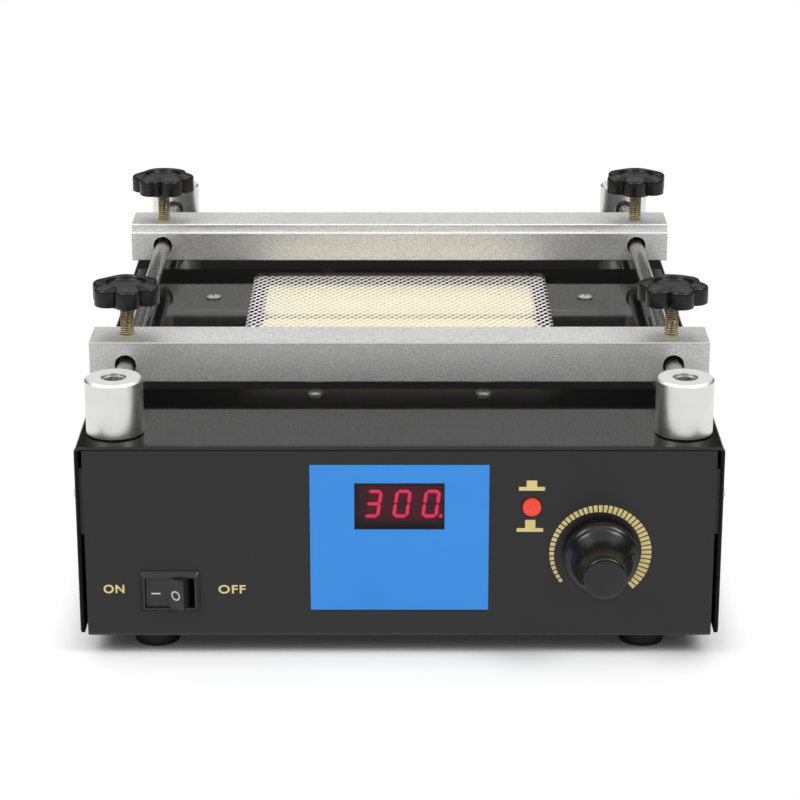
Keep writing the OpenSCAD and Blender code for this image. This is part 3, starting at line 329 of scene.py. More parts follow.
def cover_paint():
    """Black gloss with orange peel and a few dust specks; the inside of the flanges is primed, so matt."""
    paint = Finish("cover_gloss_black")
    peel = paint.noise(1.8)
    smear = paint.noise(45.0, 3.0)
    dust = paint.ease(paint.noise(0.7, 0.0), 0.80, 0.86)
    x, _, z = paint.axes()
    _, _, high = middle("top_cover")
    inner = paint.ease(abs(x), float(high[0]) - 0.5, float(high[0]) - 0.2, 1.0, 0.0)
    bare = inner * paint.ease(z, float(high[2]) - 2.0, float(high[2]) - 1.2, 1.0, 0.0)
    paint.set(
        base_color=paint.mix(dust * 0.35, grey(0.003), grey(0.05)),
        roughness=paint.ease(smear, 0.3, 0.7, 0.05, 0.09) + dust * 0.2,
        normal=paint.relief(peel, 0.002),
        specular_ior_level=0.48,
    )
    primer = paint.node("ShaderNodeBsdfDiffuse", {}, {"Color": grey(0.012), "Roughness": 0.8})
    gloss = Value(paint, paint.shader.outputs[0])
    paint.show(paint.node("ShaderNodeMixShader", {}, {0: bare, 1: gloss, 2: primer}))
    return paint


def panel_paint():
    """Charcoal powder coat: a fine pebble grain, slightly uneven in gloss."""
    paint = Finish("panel_powder_coat")
    pebbles = paint.noise(0.45, 2.0)
    cloud = paint.noise(30.0, 3.0)
    return paint.set(
        base_color=paint.mix(cloud, grey(0.006), grey(0.010)),
        roughness=paint.ease(pebbles, 0.3, 0.7, 0.30, 0.42),
        normal=paint.relief(pebbles, 0.007),
        specular_ior_level=0.42,
    )


dress(cover_paint(), "top_cover")
dress(panel_paint(), "chassis_tray")

# %% [markdown]
# ## Aluminium and steel
#
# The clamp bars are blasted with grit, which leaves a grain of half a millimetre that sparkles. The posts
# were turned on a lathe, so their lines run round the axis. The rods are ground steel. A plain metal would
# look like chrome or like grey paint; the grain in the gloss and in the relief tells the three apart.

# %% Bars


def blasted_aluminium(name, node):
    """Colour, gloss and relief follow one grain of half a millimetre; painted shade darkens the top front
    edge to tone down its highlight.
    """
    metal = Finish(name)
    _, low, high = middle(node)
    _, y, z = metal.axes()
    # painted shade: the colour of the top front edge is darkened so that its highlight comes out weaker
    painted_edge_shade = metal.ease(z, float(high[2]) - 0.8, float(high[2]) - 0.3) * metal.ease(
        y, float(low[1]) + 0.3, float(low[1]) + 0.8, 1.0, 0.0
    )
    grain = metal.noise(0.55, 1.5)
    cloud = metal.noise(14.0, 2.0)
    shade = metal.ease(grain, 0.25, 0.75) * 0.75 + cloud * 0.25
    blasted = metal.mix(shade, grey(0.62), (0.95, 0.95, 0.94, 1.0))
    return metal.set(
        metallic=1.0,
        base_color=metal.mix(painted_edge_shade, blasted, grey(0.46)),
        roughness=metal.ease(grain, 0.2, 0.8, 0.46, 0.60),
        normal=metal.relief(grain, 0.014),
    )


for bar in ("front_clamp_bar", "rear_clamp_bar"):
    dress(blasted_aluminium(bar + "_aluminium", bar), bar)

# %% Posts


def turned_aluminium():
    """Lathe lines: a fine ripple of the height on the wall and of the radius on top; painted shade darkens
    the foot.
    """
    metal = Finish("turned_aluminium")
    x, y, z = metal.axes()
    axis, low, high = middle("front_right_post")
    case, _, _ = middle("top_cover")
    across = abs(x) - float(axis[0])
    along = abs(y - float(case[1])) - float(case[1] - axis[1])
    radius = metal.node("ShaderNodeMath", {"operation": "SQRT"}, {0: across * across + along * along})
    ripple = metal.noise(0.16, 1.0, metal.node("ShaderNodeCombineXYZ", {}, {0: radius, 1: z * 0.6}))
    cloud = metal.noise(9.0, 2.0)
    # painted shade: a dark line in the colour at the foot of each post, where it meets the cover
    painted_foot_shade = metal.ease(z, float(low[2]) + 0.35, float(low[2]) + 0.75, 1.0, 0.0)
    top = metal.ease(z, float(high[2]) - 0.5, float(high[2]) - 0.1)
    turned = metal.mix(ripple * 0.4 + cloud * 0.6, (0.73, 0.73, 0.70, 1.0), (0.87, 0.87, 0.83, 1.0))
    return metal.set(
        metallic=1.0,
        base_color=metal.mix(painted_foot_shade, turned, grey(0.05)),
        roughness=metal.ease(ripple, 0.25, 0.75, 0.30, 0.40) + top * 0.25,
        normal=metal.relief(ripple, 0.0004),
    )


dress(turned_aluminium(), "front_left_post", "front_right_post", "rear_left_post", "rear_right_post")

# %% Rods, screws and pins


def plain_metal(name, dark, light, gloss, grain, drawn=(1.0, 1.0, 1.0), depth=0.002):
    """Metal between two colours, with a grain of one size that can be drawn out along an axis."""
    metal = Finish(name)
    lines = metal.noise(grain, 2.0, metal.drawn_out(*drawn))
    cloud = metal.noise(6.0, 2.0)
    return metal.set(
        metallic=1.0,
        base_color=metal.mix(lines * 0.5 + cloud * 0.5, dark, light),
        roughness=metal.ease(lines, 0.25, 0.75, gloss, gloss + 0.12),
        normal=metal.relief(lines, depth),
    )


ground_steel = plain_metal(
    "ground_steel", grey(0.42), (0.60, 0.59, 0.56, 1.0), 0.20, 0.2, (1.0, 6.0, 1.0)
)
dress(ground_steel, "left_guide_rod", "right_guide_rod", "temperature_probe", "control_shaft")
bright_zinc = plain_metal("bright_zinc", grey(0.62), (0.80, 0.81, 0.80, 1.0), 0.18, 0.8)
dress(
    bright_zinc, "cover_screws", "foot_screws", "pan_nuts", "post_nuts", "post_screws",
    "display_nuts", "inlet_screws", "bush_nut_ring", "tile_clips",
)
screw_nickel = plain_metal("screw_nickel", grey(0.30), grey(0.46), 0.42, 0.6)
dress(screw_nickel, "pan_screws")
pan_steel = plain_metal("pan_steel", grey(0.55), grey(0.72), 0.28, 1.5, (1.0, 8.0, 1.0))
dress(pan_steel, "reflector_pan")
plated_brass = plain_metal(
    "plated_brass", (0.62, 0.58, 0.44, 1.0), (0.76, 0.72, 0.58, 1.0), 0.25, 0.5
)
dress(plated_brass, "switch_terminals", "inlet_pins", "board_standoffs")
grey_metal = plain_metal("grey_metal", grey(0.36), grey(0.46), 0.38, 0.4)
dress(grey_metal, "potentiometer", "heatsink")

# %% [markdown]
# ## Plastics and rubber
#
# The star knobs are satin, the dial knob is polished, and the switch has the fine matt texture that
# a spark-eroded mould leaves. One function makes them all from a colour, a gloss and a grain, since that
# is all that differs.

# %% Moulded plastics


def moulded(name, dark, light, gloss, grain, depth):
    """Plastic between two close colours; the grain moves gloss and relief, and a cloud moves the colour."""
    plastic = Finish(name)
    texture = plastic.noise(grain, 2.0)
    cloud = plastic.noise(7.0, 2.0)
    return plastic.set(
        base_color=plastic.mix(cloud, dark, light),
        roughness=plastic.ease(texture, 0.25, 0.75, gloss, gloss + 0.10),
        normal=plastic.relief(texture, depth),
    )


star_plastic = moulded("star_plastic", grey(0.003), (0.005, 0.005, 0.006, 1.0), 0.30, 0.6, 0.002)
star_plastic.set(specular_ior_level=0.36)
knob_plastic = moulded("knob_plastic", grey(0.006), (0.009, 0.009, 0.010, 1.0), 0.16, 0.9, 0.001)
knob_plastic.set(specular_ior_level=0.42)
rocker_plastic = moulded("rocker_plastic", grey(0.012), grey(0.018), 0.42, 0.25, 0.006)
dress(rocker_plastic, "rocker")
housing_plastic = moulded("housing_plastic", grey(0.010), grey(0.015), 0.34, 0.3, 0.005)
dress(housing_plastic, "switch_housing", "mains_inlet", "fuse_holder", "fuse_cap", "button_switch")
foot_rubber = moulded("foot_rubber", grey(0.008), grey(0.016), 0.62, 0.6, 0.02)
dress(foot_rubber, "rubber_feet")
button_plastic = moulded(
    "button_plastic", (0.78, 0.042, 0.016, 1.0), (0.86, 0.054, 0.021, 1.0), 0.22, 0.5, 0.002
)
dress(button_plastic, "push_button")
block_plastic = moulded(
    "block_plastic", (0.05, 0.28, 0.13, 1.0), (0.07, 0.36, 0.18, 1.0), 0.4, 0.3, 0.005
)
dress(block_plastic, "terminal_block")

# %% [markdown]
# ## Heater, boards and display
#
# The tiles are cream ceramic with a soft glaze, the pad is ceramic fibre and the gasket graphite felt. The
# boards are green laminate, whose copper shows as lighter bands. The blue film is printed polyester with
# a very fine matt grain. Pictures could be wrapped on them, but noise and bricks need no unwrapping.

# %% Ceramic and fibre


def glazed_ceramic():
    """Cream glaze: pale clouds, small warm specks and a slow ripple."""
    clay = Finish("glazed_ceramic")
    cloud = clay.noise(11.0, 3.0)
    speck = clay.ease(clay.noise(0.8, 1.0), 0.72, 0.80)
    cream = clay.mix(cloud, ink(236, 224, 166), ink(244, 235, 186))
    return clay.set(
        base_color=clay.mix(speck * 0.5, cream, ink(214, 192, 140)),
        roughness=clay.ease(cloud, 0.3, 0.7, 0.38, 0.52),
        normal=clay.relief(clay.noise(2.5), 0.02),
    )


def ceramic_fibre(name, dark, light):
    """Felt of short fibres: two noises drawn out across each other."""
    felt = Finish(name)
    lengthwise = felt.noise(0.5, 3.0, felt.drawn_out(8.0, 1.0, 1.0))
    crosswise = felt.noise(0.5, 3.0, felt.drawn_out(1.0, 8.0, 1.0))
    fibres = lengthwise * crosswise
    return felt.set(
        base_color=felt.mix(felt.ease(fibres, 0.1, 0.4), dark, light),
        roughness=0.92,
        normal=felt.relief(fibres, 0.15),
    )


dress(glazed_ceramic(), "rear_heater_tile", "middle_heater_tile", "front_heater_tile")
dress(ceramic_fibre("ceramic_fibre", ink(196, 188, 164), ink(236, 230, 212)), "insulation_pad")
dress(ceramic_fibre("graphite_fibre", grey(0.008), grey(0.03)), "mesh_gasket")

# %% Boards and core


def green_laminate():
    """Solder resist over copper: bands of a brick pattern are a little lighter and raised."""
    board = Finish("green_laminate")
    tracks = board.node(
        "ShaderNodeTexBrick",
        {},
        {"Vector": board.spot, "Scale": 0.12, "Mortar Size": 0.05, "Mortar Smooth": 0.4},
        "Fac",
    )
    weave = board.noise(0.5)
    return board.set(
        base_color=board.mix(tracks, ink(24, 84, 46), ink(44, 120, 66)),
        roughness=board.ease(weave, 0.3, 0.7, 0.32, 0.44),
        normal=board.relief(tracks, 0.04),
    )


def stacked_iron():
    """Varnished sheets: stripes half a millimetre apart across the stack."""
    iron = Finish("stacked_iron")
    _, y, _ = iron.axes()
    sheet_pitch = 0.5
    sheets = iron.node("ShaderNodeMath", {"operation": "SINE"}, {0: y * (2 * math.pi / sheet_pitch)})
    return iron.set(
        base_color=iron.mix(sheets * 0.3 + iron.noise(3.0), ink(60, 44, 34), ink(120, 92, 66)),
        roughness=0.45,
        normal=iron.relief(sheets, 0.03),
    )


dress(green_laminate(), "control_board", "display_board")
dress(stacked_iron(), "transformer")

# %% Film, lens and display module


def blue_film():
    """Printed film: even blue, a fine matt grain and a slow change of tone."""
    film = Finish("blue_film")
    return film.set(
        base_color=film.mix(film.noise(25.0), ink(30, 126, 209), ink(37, 133, 216)),
        roughness=film.ease(film.noise(0.3), 0.3, 0.7, 0.34, 0.44),
        normal=film.relief(film.noise(0.25), 0.002),
    )


def smoked_lens():
    """Dark red window, half see-through, polished with faint wipes."""
    lens_finish = Finish("smoked_lens")
    wipes = lens_finish.noise(4.0, 2.0, lens_finish.drawn_out(5.0, 1.0, 1.0))
    return lens_finish.set(
        base_color=lens_finish.mix(wipes, (0.006, 0.001, 0.003, 1.0), (0.010, 0.002, 0.004, 1.0)),
        roughness=lens_finish.ease(wipes, 0.3, 0.7, 0.06, 0.12),
        alpha=0.55,
        specular_ior_level=0.35,
    )


def module_face():
    """Black face of the module, with the glow that the segments throw on it."""
    face = Finish("module_face")
    x, _, z = face.axes()
    centre, low, high = middle("display_digits")
    reach = float(high[0] - low[0]) / 2
    side = face.ease(abs(x - float(centre[0])), reach - 2.0, reach + 3.0, 1.0, 0.0)
    rise = face.ease(abs(z - float(centre[2])), 4.0, 8.5, 1.0, 0.0)
    glow = side * rise * (0.7 + 0.6 * face.noise(3.0))
    return face.set(
        base_color=grey(0.010),
        roughness=face.ease(face.noise(0.4), 0.3, 0.7, 0.45, 0.6),
        emission_color=face.mix(glow, grey(0.0), (0.22, 0.008, 0.040, 1.0)),
        emission_strength=1.0,
    )


dress(blue_film(), "display_overlay")
dress(smoked_lens(), "display_lens")
dress(module_face(), "display_module")

# %% [markdown]
# ## Surfaces from arrays
#
# New pieces are grids of points. They could be built face by face, but a shape that is worked out for all
# rows and columns at once reads like its formula. One function joins the grid into quads: the columns form
# a ring, and the rows form a ring too or end in caps.

# %% Grid to mesh


def surface(name, grid, ring_rows=False, sharp=35.0):
    """Joins points in millimetres, shaped (copies, rows, columns, 3), into one closed mesh.

    Each quad joins a point to the next column and the next row, and the last column to the first one.
    The last row joins the first one where the rows are a ring; otherwise one polygon caps each end.
    The faces are turned round if the sum of p0 . (p1 x p2), six times the volume, comes out negative."""
    grid = np.asarray(grid, float)
    grid = grid.reshape(-1, *grid.shape[-3:])
    index = np.arange(grid[..., 0].size).reshape(grid.shape[:3])
    here = index if ring_rows else index[:, :-1]
    above = np.roll(index, -1, 1) if ring_rows else index[:, 1:]
    quads = np.stack([here, np.roll(here, -1, 2), np.roll(above, -1, 2), above], -1).reshape(-1, 4)
    ends = [] if ring_rows else [*index[:, 0, ::-1], *index[:, -1]]
    points = grid.reshape(-1, 3) * MM
    p = points - points.mean(0)
    volume = sum(
        np.einsum("ij,ij->", p[first], np.cross(p[second], p[third]))
        for first, second, third in [quads.T[[0, 1, 2]], quads.T[[0, 2, 3]]]
        + [(np.full(len(end) - 2, end[0]), end[1:-1], end[2:]) for end in ends]
    )
    turn = 1 if volume > 0 else -1
    mesh = bpy.data.meshes.new(name)
    faces = quads[:, ::turn].tolist() + [end[::turn].tolist() for end in ends]
    mesh.from_pydata(points.tolist(), [], faces)
    mesh.shade_smooth()
    mesh.set_sharp_from_angle(angle=math.radians(sharp))
    piece = bpy.data.objects.new(name, mesh)
    scene.collection.objects.link(piece)
    return piece


def keep(piece, finish, body, slot, *stands_for):
    """Paints a piece, makes it ride on a body and hides the solids that it stands for."""
    piece.data.materials.append(finish.material)
    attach(piece, body)
    if stands_for:
        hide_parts(*stands_for)
    print(piece.name, len(piece.data.polygons), "faces, rides on", body)
    return piece


X, Z, FRONT = np.array([1.0, 0, 0]), np.array([0, 0, 1.0]), np.array([0, -1.0, 0])
print("grids become closed meshes; the panel looks along", FRONT)

# %% [markdown]
# ## Star knobs
#
# Each clamp screw ends in a moulded knob with six lobes, a raised ring and a dish. It could be modelled
# from boxes and a subdivision surface, but the outline is six circles set round the axis. The profile runs
# from the blind hole below, over the hub, wall and ring, to the dish, and every station says how far it
# follows the lobes.

# %% Star knob
STAR_PROFILE = np.array([
    # radius at a lobe's tip, height, share of the lobes' depth that the station follows
    (2.56, 4.0, 0), (2.56, 0.25, 0), (2.8, 0.0, 0), (5.9, 0.0, 0), (6.3, 0.3, 0), (6.3, 1.25, 0),
    (6.6, 1.55, 0), (11.75, 1.55, 1), (12.35, 1.6, 1), (12.63, 1.75, 1), (12.75, 2.1, 1), (12.75, 7.0, 1),
    (12.69, 7.4, 1), (12.5, 7.78, 1), (12.2, 8.06, 1), (11.75, 8.28, 0.98), (11.2, 8.46, 0.92),
    (10.5, 8.66, 0.78), (9.8, 8.86, 0.55), (9.2, 9.03, 0.36), (8.7, 9.16, 0.2), (8.2, 9.26, 0.06),
    (7.75, 9.3, 0), (7.4, 9.22, 0), (7.1, 8.98, 0), (6.9, 8.55, 0), (6.78, 8.1, 0), (6.6, 7.78, 0),
    (6.3, 7.55, 0), (5.8, 7.28, 0), (5.2, 7.02, 0), (4.4, 6.76, 0), (3.4, 6.53, 0), (2.4, 6.37, 0),
    (1.2, 6.27, 0), (0.4, 6.25, 0),
])
STAR_TIP, LOBE_ROUND, NOTCH_ROUND, STAR_LOBES, STAR_COLUMNS = 12.75, 4.8, 0.3, 6, 168
STAR_PHASES = {"front_left": 39, "front_right": 46, "rear_left": 57, "rear_right": 23}


def star_grid(centre, base, phase):
    """Radius = the station's own + its share of (the lobed outline - the tip), so the lobes fade out.

    A lobe is a circle off the axis, which a ray at the angle t meets at c cos t + sqrt(r^2 - (c sin t)^2).
    Two neighbours join in a soft maximum, k log(exp(a / k) + exp(b / k)), which rounds their notch."""
    angle = np.linspace(0, 2 * np.pi, STAR_COLUMNS, endpoint=False)
    pitch, offset = 2 * np.pi / STAR_LOBES, STAR_TIP - LOBE_ROUND
    near = np.abs((angle + pitch / 2) % pitch - pitch / 2)
    lobes = [
        offset * np.cos(t) + np.sqrt(np.maximum(LOBE_ROUND**2 - (offset * np.sin(t)) ** 2, 0))
        for t in (near, pitch - near)
    ]
    outline = NOTCH_ROUND * np.logaddexp(lobes[0] / NOTCH_ROUND, lobes[1] / NOTCH_ROUND)
    own, height, share = STAR_PROFILE.T[:, :, None]
    radius = own + share * (outline - STAR_TIP)
    turned = angle + math.radians(phase)
    return np.stack([
        centre[0] + radius * np.cos(turned),
        centre[1] + radius * np.sin(turned),
        base + height + 0 * radius,
    ], -1)


for corner, phase in STAR_PHASES.items():
    node = corner + "_star_knob"
    stud_centre, _, _ = middle(corner + "_stud")
    knob = surface(corner + "_knob", star_grid(stud_centre, middle(node)[1][2], phase))
    keep(knob, star_plastic, corner + "_grip", "star_plastic", node)

# %% [markdown]
# ## Threaded studs
#
# The studs are zinc plated with a yellow tint that shifts to green and pink. A screw modifier could sweep
# a thread, but a thread is also just a radius that depends on height and angle, so the grid can hold it
# directly.

# %% Studs
THREAD_PITCH, THREAD_DEPTH, THREAD_TAPER = 0.8, 0.55, 0.6
FLANK_GAIN, CREST_FLAT = 1.25, 0.1
ROWS_PER_TURN, THREAD_COLUMNS = 8, 24


def yellow_zinc(name, centre, outer):
    """Plating that drifts between straw, olive and rose; painted shade darkens the root of the thread."""
    zinc = Finish(name)
    x, y, _ = zinc.axes()
    across, along = x - float(centre[0]), y - float(centre[1])
    radius = zinc.node("ShaderNodeMath", {"operation": "SQRT"}, {0: across * across + along * along})
    # painted shade: the colour grows dark towards the root of the thread, where shade falls in the groove
    painted_root_shade = zinc.ease(radius, outer - THREAD_DEPTH, outer - 0.1, 0.85, 0.0)
    drift, blush = zinc.noise(2.2, 2.0), zinc.noise(3.1, 1.0)
    straw = zinc.mix(zinc.ease(drift, 0.35, 0.65), (0.82, 0.70, 0.44, 1.0), (0.66, 0.65, 0.46, 1.0))
    plated = zinc.mix(zinc.ease(blush, 0.55, 0.75) * 0.5, straw, (0.74, 0.52, 0.42, 1.0))
    return zinc.set(
        metallic=1.0,
        base_color=zinc.mix(painted_root_shade, plated, (0.10, 0.08, 0.05, 1.0)),
        roughness=zinc.ease(drift, 0.3, 0.7, 0.30, 0.42),
        normal=zinc.relief(zinc.noise(0.3), 0.002),
    )


def thread_grid(centre, bottom, top, outer):
    """Radius = outer less depth times a triangle wave of (height / pitch - angle / full turn).

    Flat crests and roots come from clipping the wave, and both ends are cut back by a taper."""
    height = np.linspace(bottom, top, int((top - bottom) / THREAD_PITCH * ROWS_PER_TURN))[:, None]
    angle = np.linspace(0, 2 * np.pi, THREAD_COLUMNS, endpoint=False)[None, :]
    turns = height / THREAD_PITCH - angle / (2 * np.pi)
    groove = 1 - np.abs(2 * (turns % 1) - 1)
    end = np.minimum(height - bottom, top - height)
    flanks = np.clip(FLANK_GAIN * groove - CREST_FLAT, 0, 1)
    radius = np.minimum(outer - THREAD_DEPTH * flanks, outer - THREAD_TAPER + end)
    return np.stack([
        centre[0] + radius * np.cos(angle),
        centre[1] + radius * np.sin(angle),
        height + 0 * radius,
    ], -1)


for corner in STAR_PHASES:
    node = corner + "_stud"
    centre, low, high = middle(node)
    outer = float(high[0] - low[0]) / 2
    stud = surface(corner + "_thread", thread_grid(centre, low[2], high[2], outer), sharp=50)
    keep(stud, yellow_zinc(corner + "_zinc", centre, outer), corner + "_screw", "stud_zinc", node)

# %% [markdown]
# ## The heater mesh
#
# The mesh is slit sheet pulled into diamonds. The solids carry it twice as coarse, to stay light. A texture
# with holes would look flat from the side, so here each strand is a zigzag of flat ribbons that meets its
# neighbours at every corner, and all ribbons together are one array.

# %% Mesh
DIAMOND_X, DIAMOND_Y = 3.2, 4.8
RIBBON_HALF_WIDTH, RIBBON_HALF_HEIGHT, RIBBON_TILT = 0.34, 0.12, 0.14
RIBBON_LAP = 0.35 * RIBBON_HALF_WIDTH


def mesh_grid(centre, low, high):
    """Strand k passes x = i half pitches at y = (k + (i + k) mod 2) half pitches, in flat ribbons.

    Pulling the slit sheet along x tilts all ribbons to one side: across = side cos(tilt) + up sin(tilt)
    in a step that climbs, and with the opposite sign in a step that falls."""
    columns = np.arange(int((high[0] - low[0]) / DIAMOND_X * 2))
    strands = np.arange(int((high[1] - low[1]) / DIAMOND_Y * 2) - 1)
    x = low[0] + (columns + 0.5) * DIAMOND_X / 2
    step = strands[:, None] + (columns[None, :] + strands[:, None]) % 2
    y = low[1] + (step + 0.5) * DIAMOND_Y / 2
    points = np.stack([np.broadcast_to(x, y.shape), y, np.full(y.shape, centre[2])], -1)
    ends = np.stack([points[:, :-1], points[:, 1:]], -2).reshape(-1, 2, 3)
    along = ends[:, 1] - ends[:, 0]
    along /= np.linalg.norm(along, axis=1, keepdims=True)
    ends = ends + RIBBON_LAP * np.stack([-along, along], 1)
    side = np.stack([-along[:, 1], along[:, 0], 0 * along[:, 0]], -1)
    lean = np.sign(along[:, 1:2]) * RIBBON_TILT
    across = side * np.cos(lean) + Z * np.sin(lean)
    over = Z * np.cos(lean) - side * np.sin(lean)
    wide, tall = RIBBON_HALF_WIDTH * across, RIBBON_HALF_HEIGHT * over
    section = np.stack([wide, tall, -wide, -tall], 1)
    return ends[:, :, None, :] + section[:, None, :, :]


bright_mesh = plain_metal("bright_mesh", (0.82, 0.79, 0.80, 1.0), (0.96, 0.94, 0.94, 1.0), 0.40, 0.6)
bright_mesh.set(metallic=0.4)
mesh = surface("heater_mesh_strands", mesh_grid(*middle("heater_mesh")), sharp=60)
keep(mesh, bright_mesh, "base", "mesh_steel", "heater_mesh")

# %% [markdown]
# ## Lit digits
#
# The display shows three digits with seven bars each and a point. A font could draw them, but on the real
# module each bar is a part of its own, so each is a thin six-sided prism. Lit and unlit bars are two
# pieces, because they differ in light and in nothing else.

# %% Display digits
INK_SINK, INK_RISE = 0.02, 0.05


def prisms(outlines, origin, across, up, out, sink=INK_SINK, rise=INK_RISE):
    """Prisms over flat outlines, shaped (copies, points, 2): origin + u across + v up, then along out."""
    flat = origin + outlines[..., :1] * across + outlines[..., 1:] * up
    return np.stack([flat - sink * out, flat + rise * out], -3)


DIGIT_W, DIGIT_H, BAR_W, SLANT, DIGIT_PITCH = 5.6, 10.2, 1.15, math.radians(8), 10.0
TIP_IN, SHOULDER_IN, POINT_R, DIGITS_X = 0.12 * BAR_W, 0.62 * BAR_W, 0.58 * BAR_W, 0.9
BAR_ENDS = {
    "a": ((-1, 1), (1, 1)), "b": ((1, 1), (1, 0)), "c": ((1, 0), (1, -1)), "d": ((-1, -1), (1, -1)),
    "e": ((-1, 0), (-1, -1)), "f": ((-1, 1), (-1, 0)), "g": ((-1, 0), (1, 0)),
}


def bar_outline(bar, place):
    """Six corners of one bar: points at both ends and shoulders half a bar's width to each side."""
    ends = np.array(BAR_ENDS[bar]) * [(DIGIT_W - BAR_W) / 2, (DIGIT_H - BAR_W) / 2]
    ends[:, 0] += ends[:, 1] * math.tan(SLANT) + place * DIGIT_PITCH
    along = (ends[1] - ends[0]) / np.linalg.norm(ends[1] - ends[0])
    side = np.array([-along[1], along[0]]) * BAR_W / 2
    tip, shoulder = TIP_IN * along, SHOULDER_IN * along
    return [
        ends[0] + tip, ends[0] + shoulder + side, ends[1] - shoulder + side,
        ends[1] - tip, ends[1] - shoulder - side, ends[0] + shoulder - side,
    ]


def point_outline(place):
    """The decimal point after a digit, as a hexagon."""
    angle = np.linspace(0, 2 * np.pi, 6, endpoint=False)
    corner = np.array([DIGIT_W / 2 + BAR_W, (BAR_W - DIGIT_H) / 2])
    corner[0] += corner[1] * math.tan(SLANT) + place * DIGIT_PITCH
    return corner + POINT_R * np.stack([np.cos(angle), np.sin(angle)], -1)


def light(name, colour, strength, base):
    """A bar of light whose brightness varies a little along it."""
    lamp = Finish(name)
    return lamp.set(
        base_color=base,
        roughness=lamp.ease(lamp.noise(0.5), 0.3, 0.7, 0.4, 0.5),
        emission_color=lamp.mix(lamp.noise(1.6), colour, tuple(0.85 * c for c in colour[:3]) + (1.0,)),
        emission_strength=strength,
    )


SHOWN = [(-1, "abcdg"), (0, "abcdef"), (1, "abcdef")]
lit = [bar_outline(bar, place) for place, bars in SHOWN for bar in bars] + [point_outline(1)]
dark = [bar_outline(bar, place) for place, bars in SHOWN for bar in BAR_ENDS if bar not in bars]
dark += [point_outline(place) for place in (-1, 0)]
_, low, high = middle("display_digits")
lens_centre, _, _ = middle("display_lens")
digits_at = np.array([DIGITS_X, high[1], lens_centre[2]])
thick = {"sink": 0.0, "rise": float(high[1] - low[1])}
glow = light("lit_segment", (1.0, 0.026, 0.115, 1.0), 3.8, (0.5, 0.02, 0.05, 1.0))
keep(
    surface("lit_digits", prisms(np.array(lit), digits_at, X, Z, FRONT, **thick)),
    glow, "base", "digit_light", "display_digits",
)
off = light("unlit_segment", (0.05, 0.004, 0.008, 1.0), 1.0, (0.05, 0.02, 0.02, 1.0))
keep(
    surface("unlit_digits", prisms(np.array(dark), digits_at, X, Z, FRONT, **thick)),
    off, "base", "digit_light",
)

# %% [markdown]
# ## Printed marks
#
# The scale round the dial, the two push icons and the words at the switch are screen printed in gold.
# A flat image would need a texture, so every mark is a thin prism that stands a few hundredths of
# a millimetre proud of its panel.

# %% Inks


def printed(name, colour, worn):
    """Ink with the faint weave of the printing screen and a slow change of tone."""
    coat = Finish(name)
    weave = coat.noise(0.18, 1.0)
    return coat.set(
        base_color=coat.mix(coat.noise(1.5) * 0.6 + weave * 0.4, worn, colour),
        roughness=coat.ease(weave, 0.3, 0.7, 0.36, 0.5),
        normal=coat.relief(weave, 0.003),
    )


gold_ink = printed("gold_ink", ink(222, 204, 138), ink(196, 176, 110))
white_ink = printed("white_ink", ink(206, 206, 208), ink(180, 180, 182))
panel_face = float(middle("chassis_tray")[1][1])
print("the panel's face is at y =", round(panel_face, 2))

# %% Dial scale
dial_centre, _, _ = middle("control_shaft")
TICKS, TICK_START, TICK_END, TICK_FILL, SCALE_R = 45, 217.0, -47.0, 0.73, 17.6
SHORT_TICK, TICK_GROWTH = 1.2, 2.75


def tick_outlines():
    """Tick i fills a part of its step, from the outer radius inwards over a length that grows evenly."""
    share = np.arange(TICKS) / (TICKS - 1)
    middle_angle = np.radians(TICK_START + (TICK_END - TICK_START) * share)
    half = math.radians((TICK_START - TICK_END) / (TICKS - 1) * TICK_FILL / 2)
    inner = SCALE_R - (SHORT_TICK + TICK_GROWTH * share)
    angle = middle_angle[:, None] + half * np.array([-1, 1, 1, -1])
    radius = np.stack([np.full(TICKS, SCALE_R), np.full(TICKS, SCALE_R), inner, inner], -1)
    return np.stack([radius * np.cos(angle), radius * np.sin(angle)], -1)


dial_at = np.array([dial_centre[0], panel_face, dial_centre[2]])
keep(surface("dial_scale", prisms(tick_outlines(), dial_at, X, Z, FRONT)), gold_ink, "base", "overlay_film")

# %% Push icons


def block(x0, x1, z0, z1):
    """A rectangle on the panel."""
    return [(x0, z0), (x1, z0), (x1, z1), (x0, z1)]


icons = np.array([
    # stem and bar of the upper icon, then of the lower one
    block(43.5, 47.1, 63.3, 65.6), block(40.9, 49.8, 61.9, 63.3),
    block(43.2, 46.7, 48.15, 51.2), block(40.3, 49.4, 46.8, 48.15),
])
panel_origin = np.array([0, panel_face, 0])
keep(surface("push_icons", prisms(icons, panel_origin, X, Z, FRONT)), gold_ink, "base", "overlay_film")

# %% Words at the switch
LETTER_WEIGHT, LETTER_SPACE = 0.022, 1.12


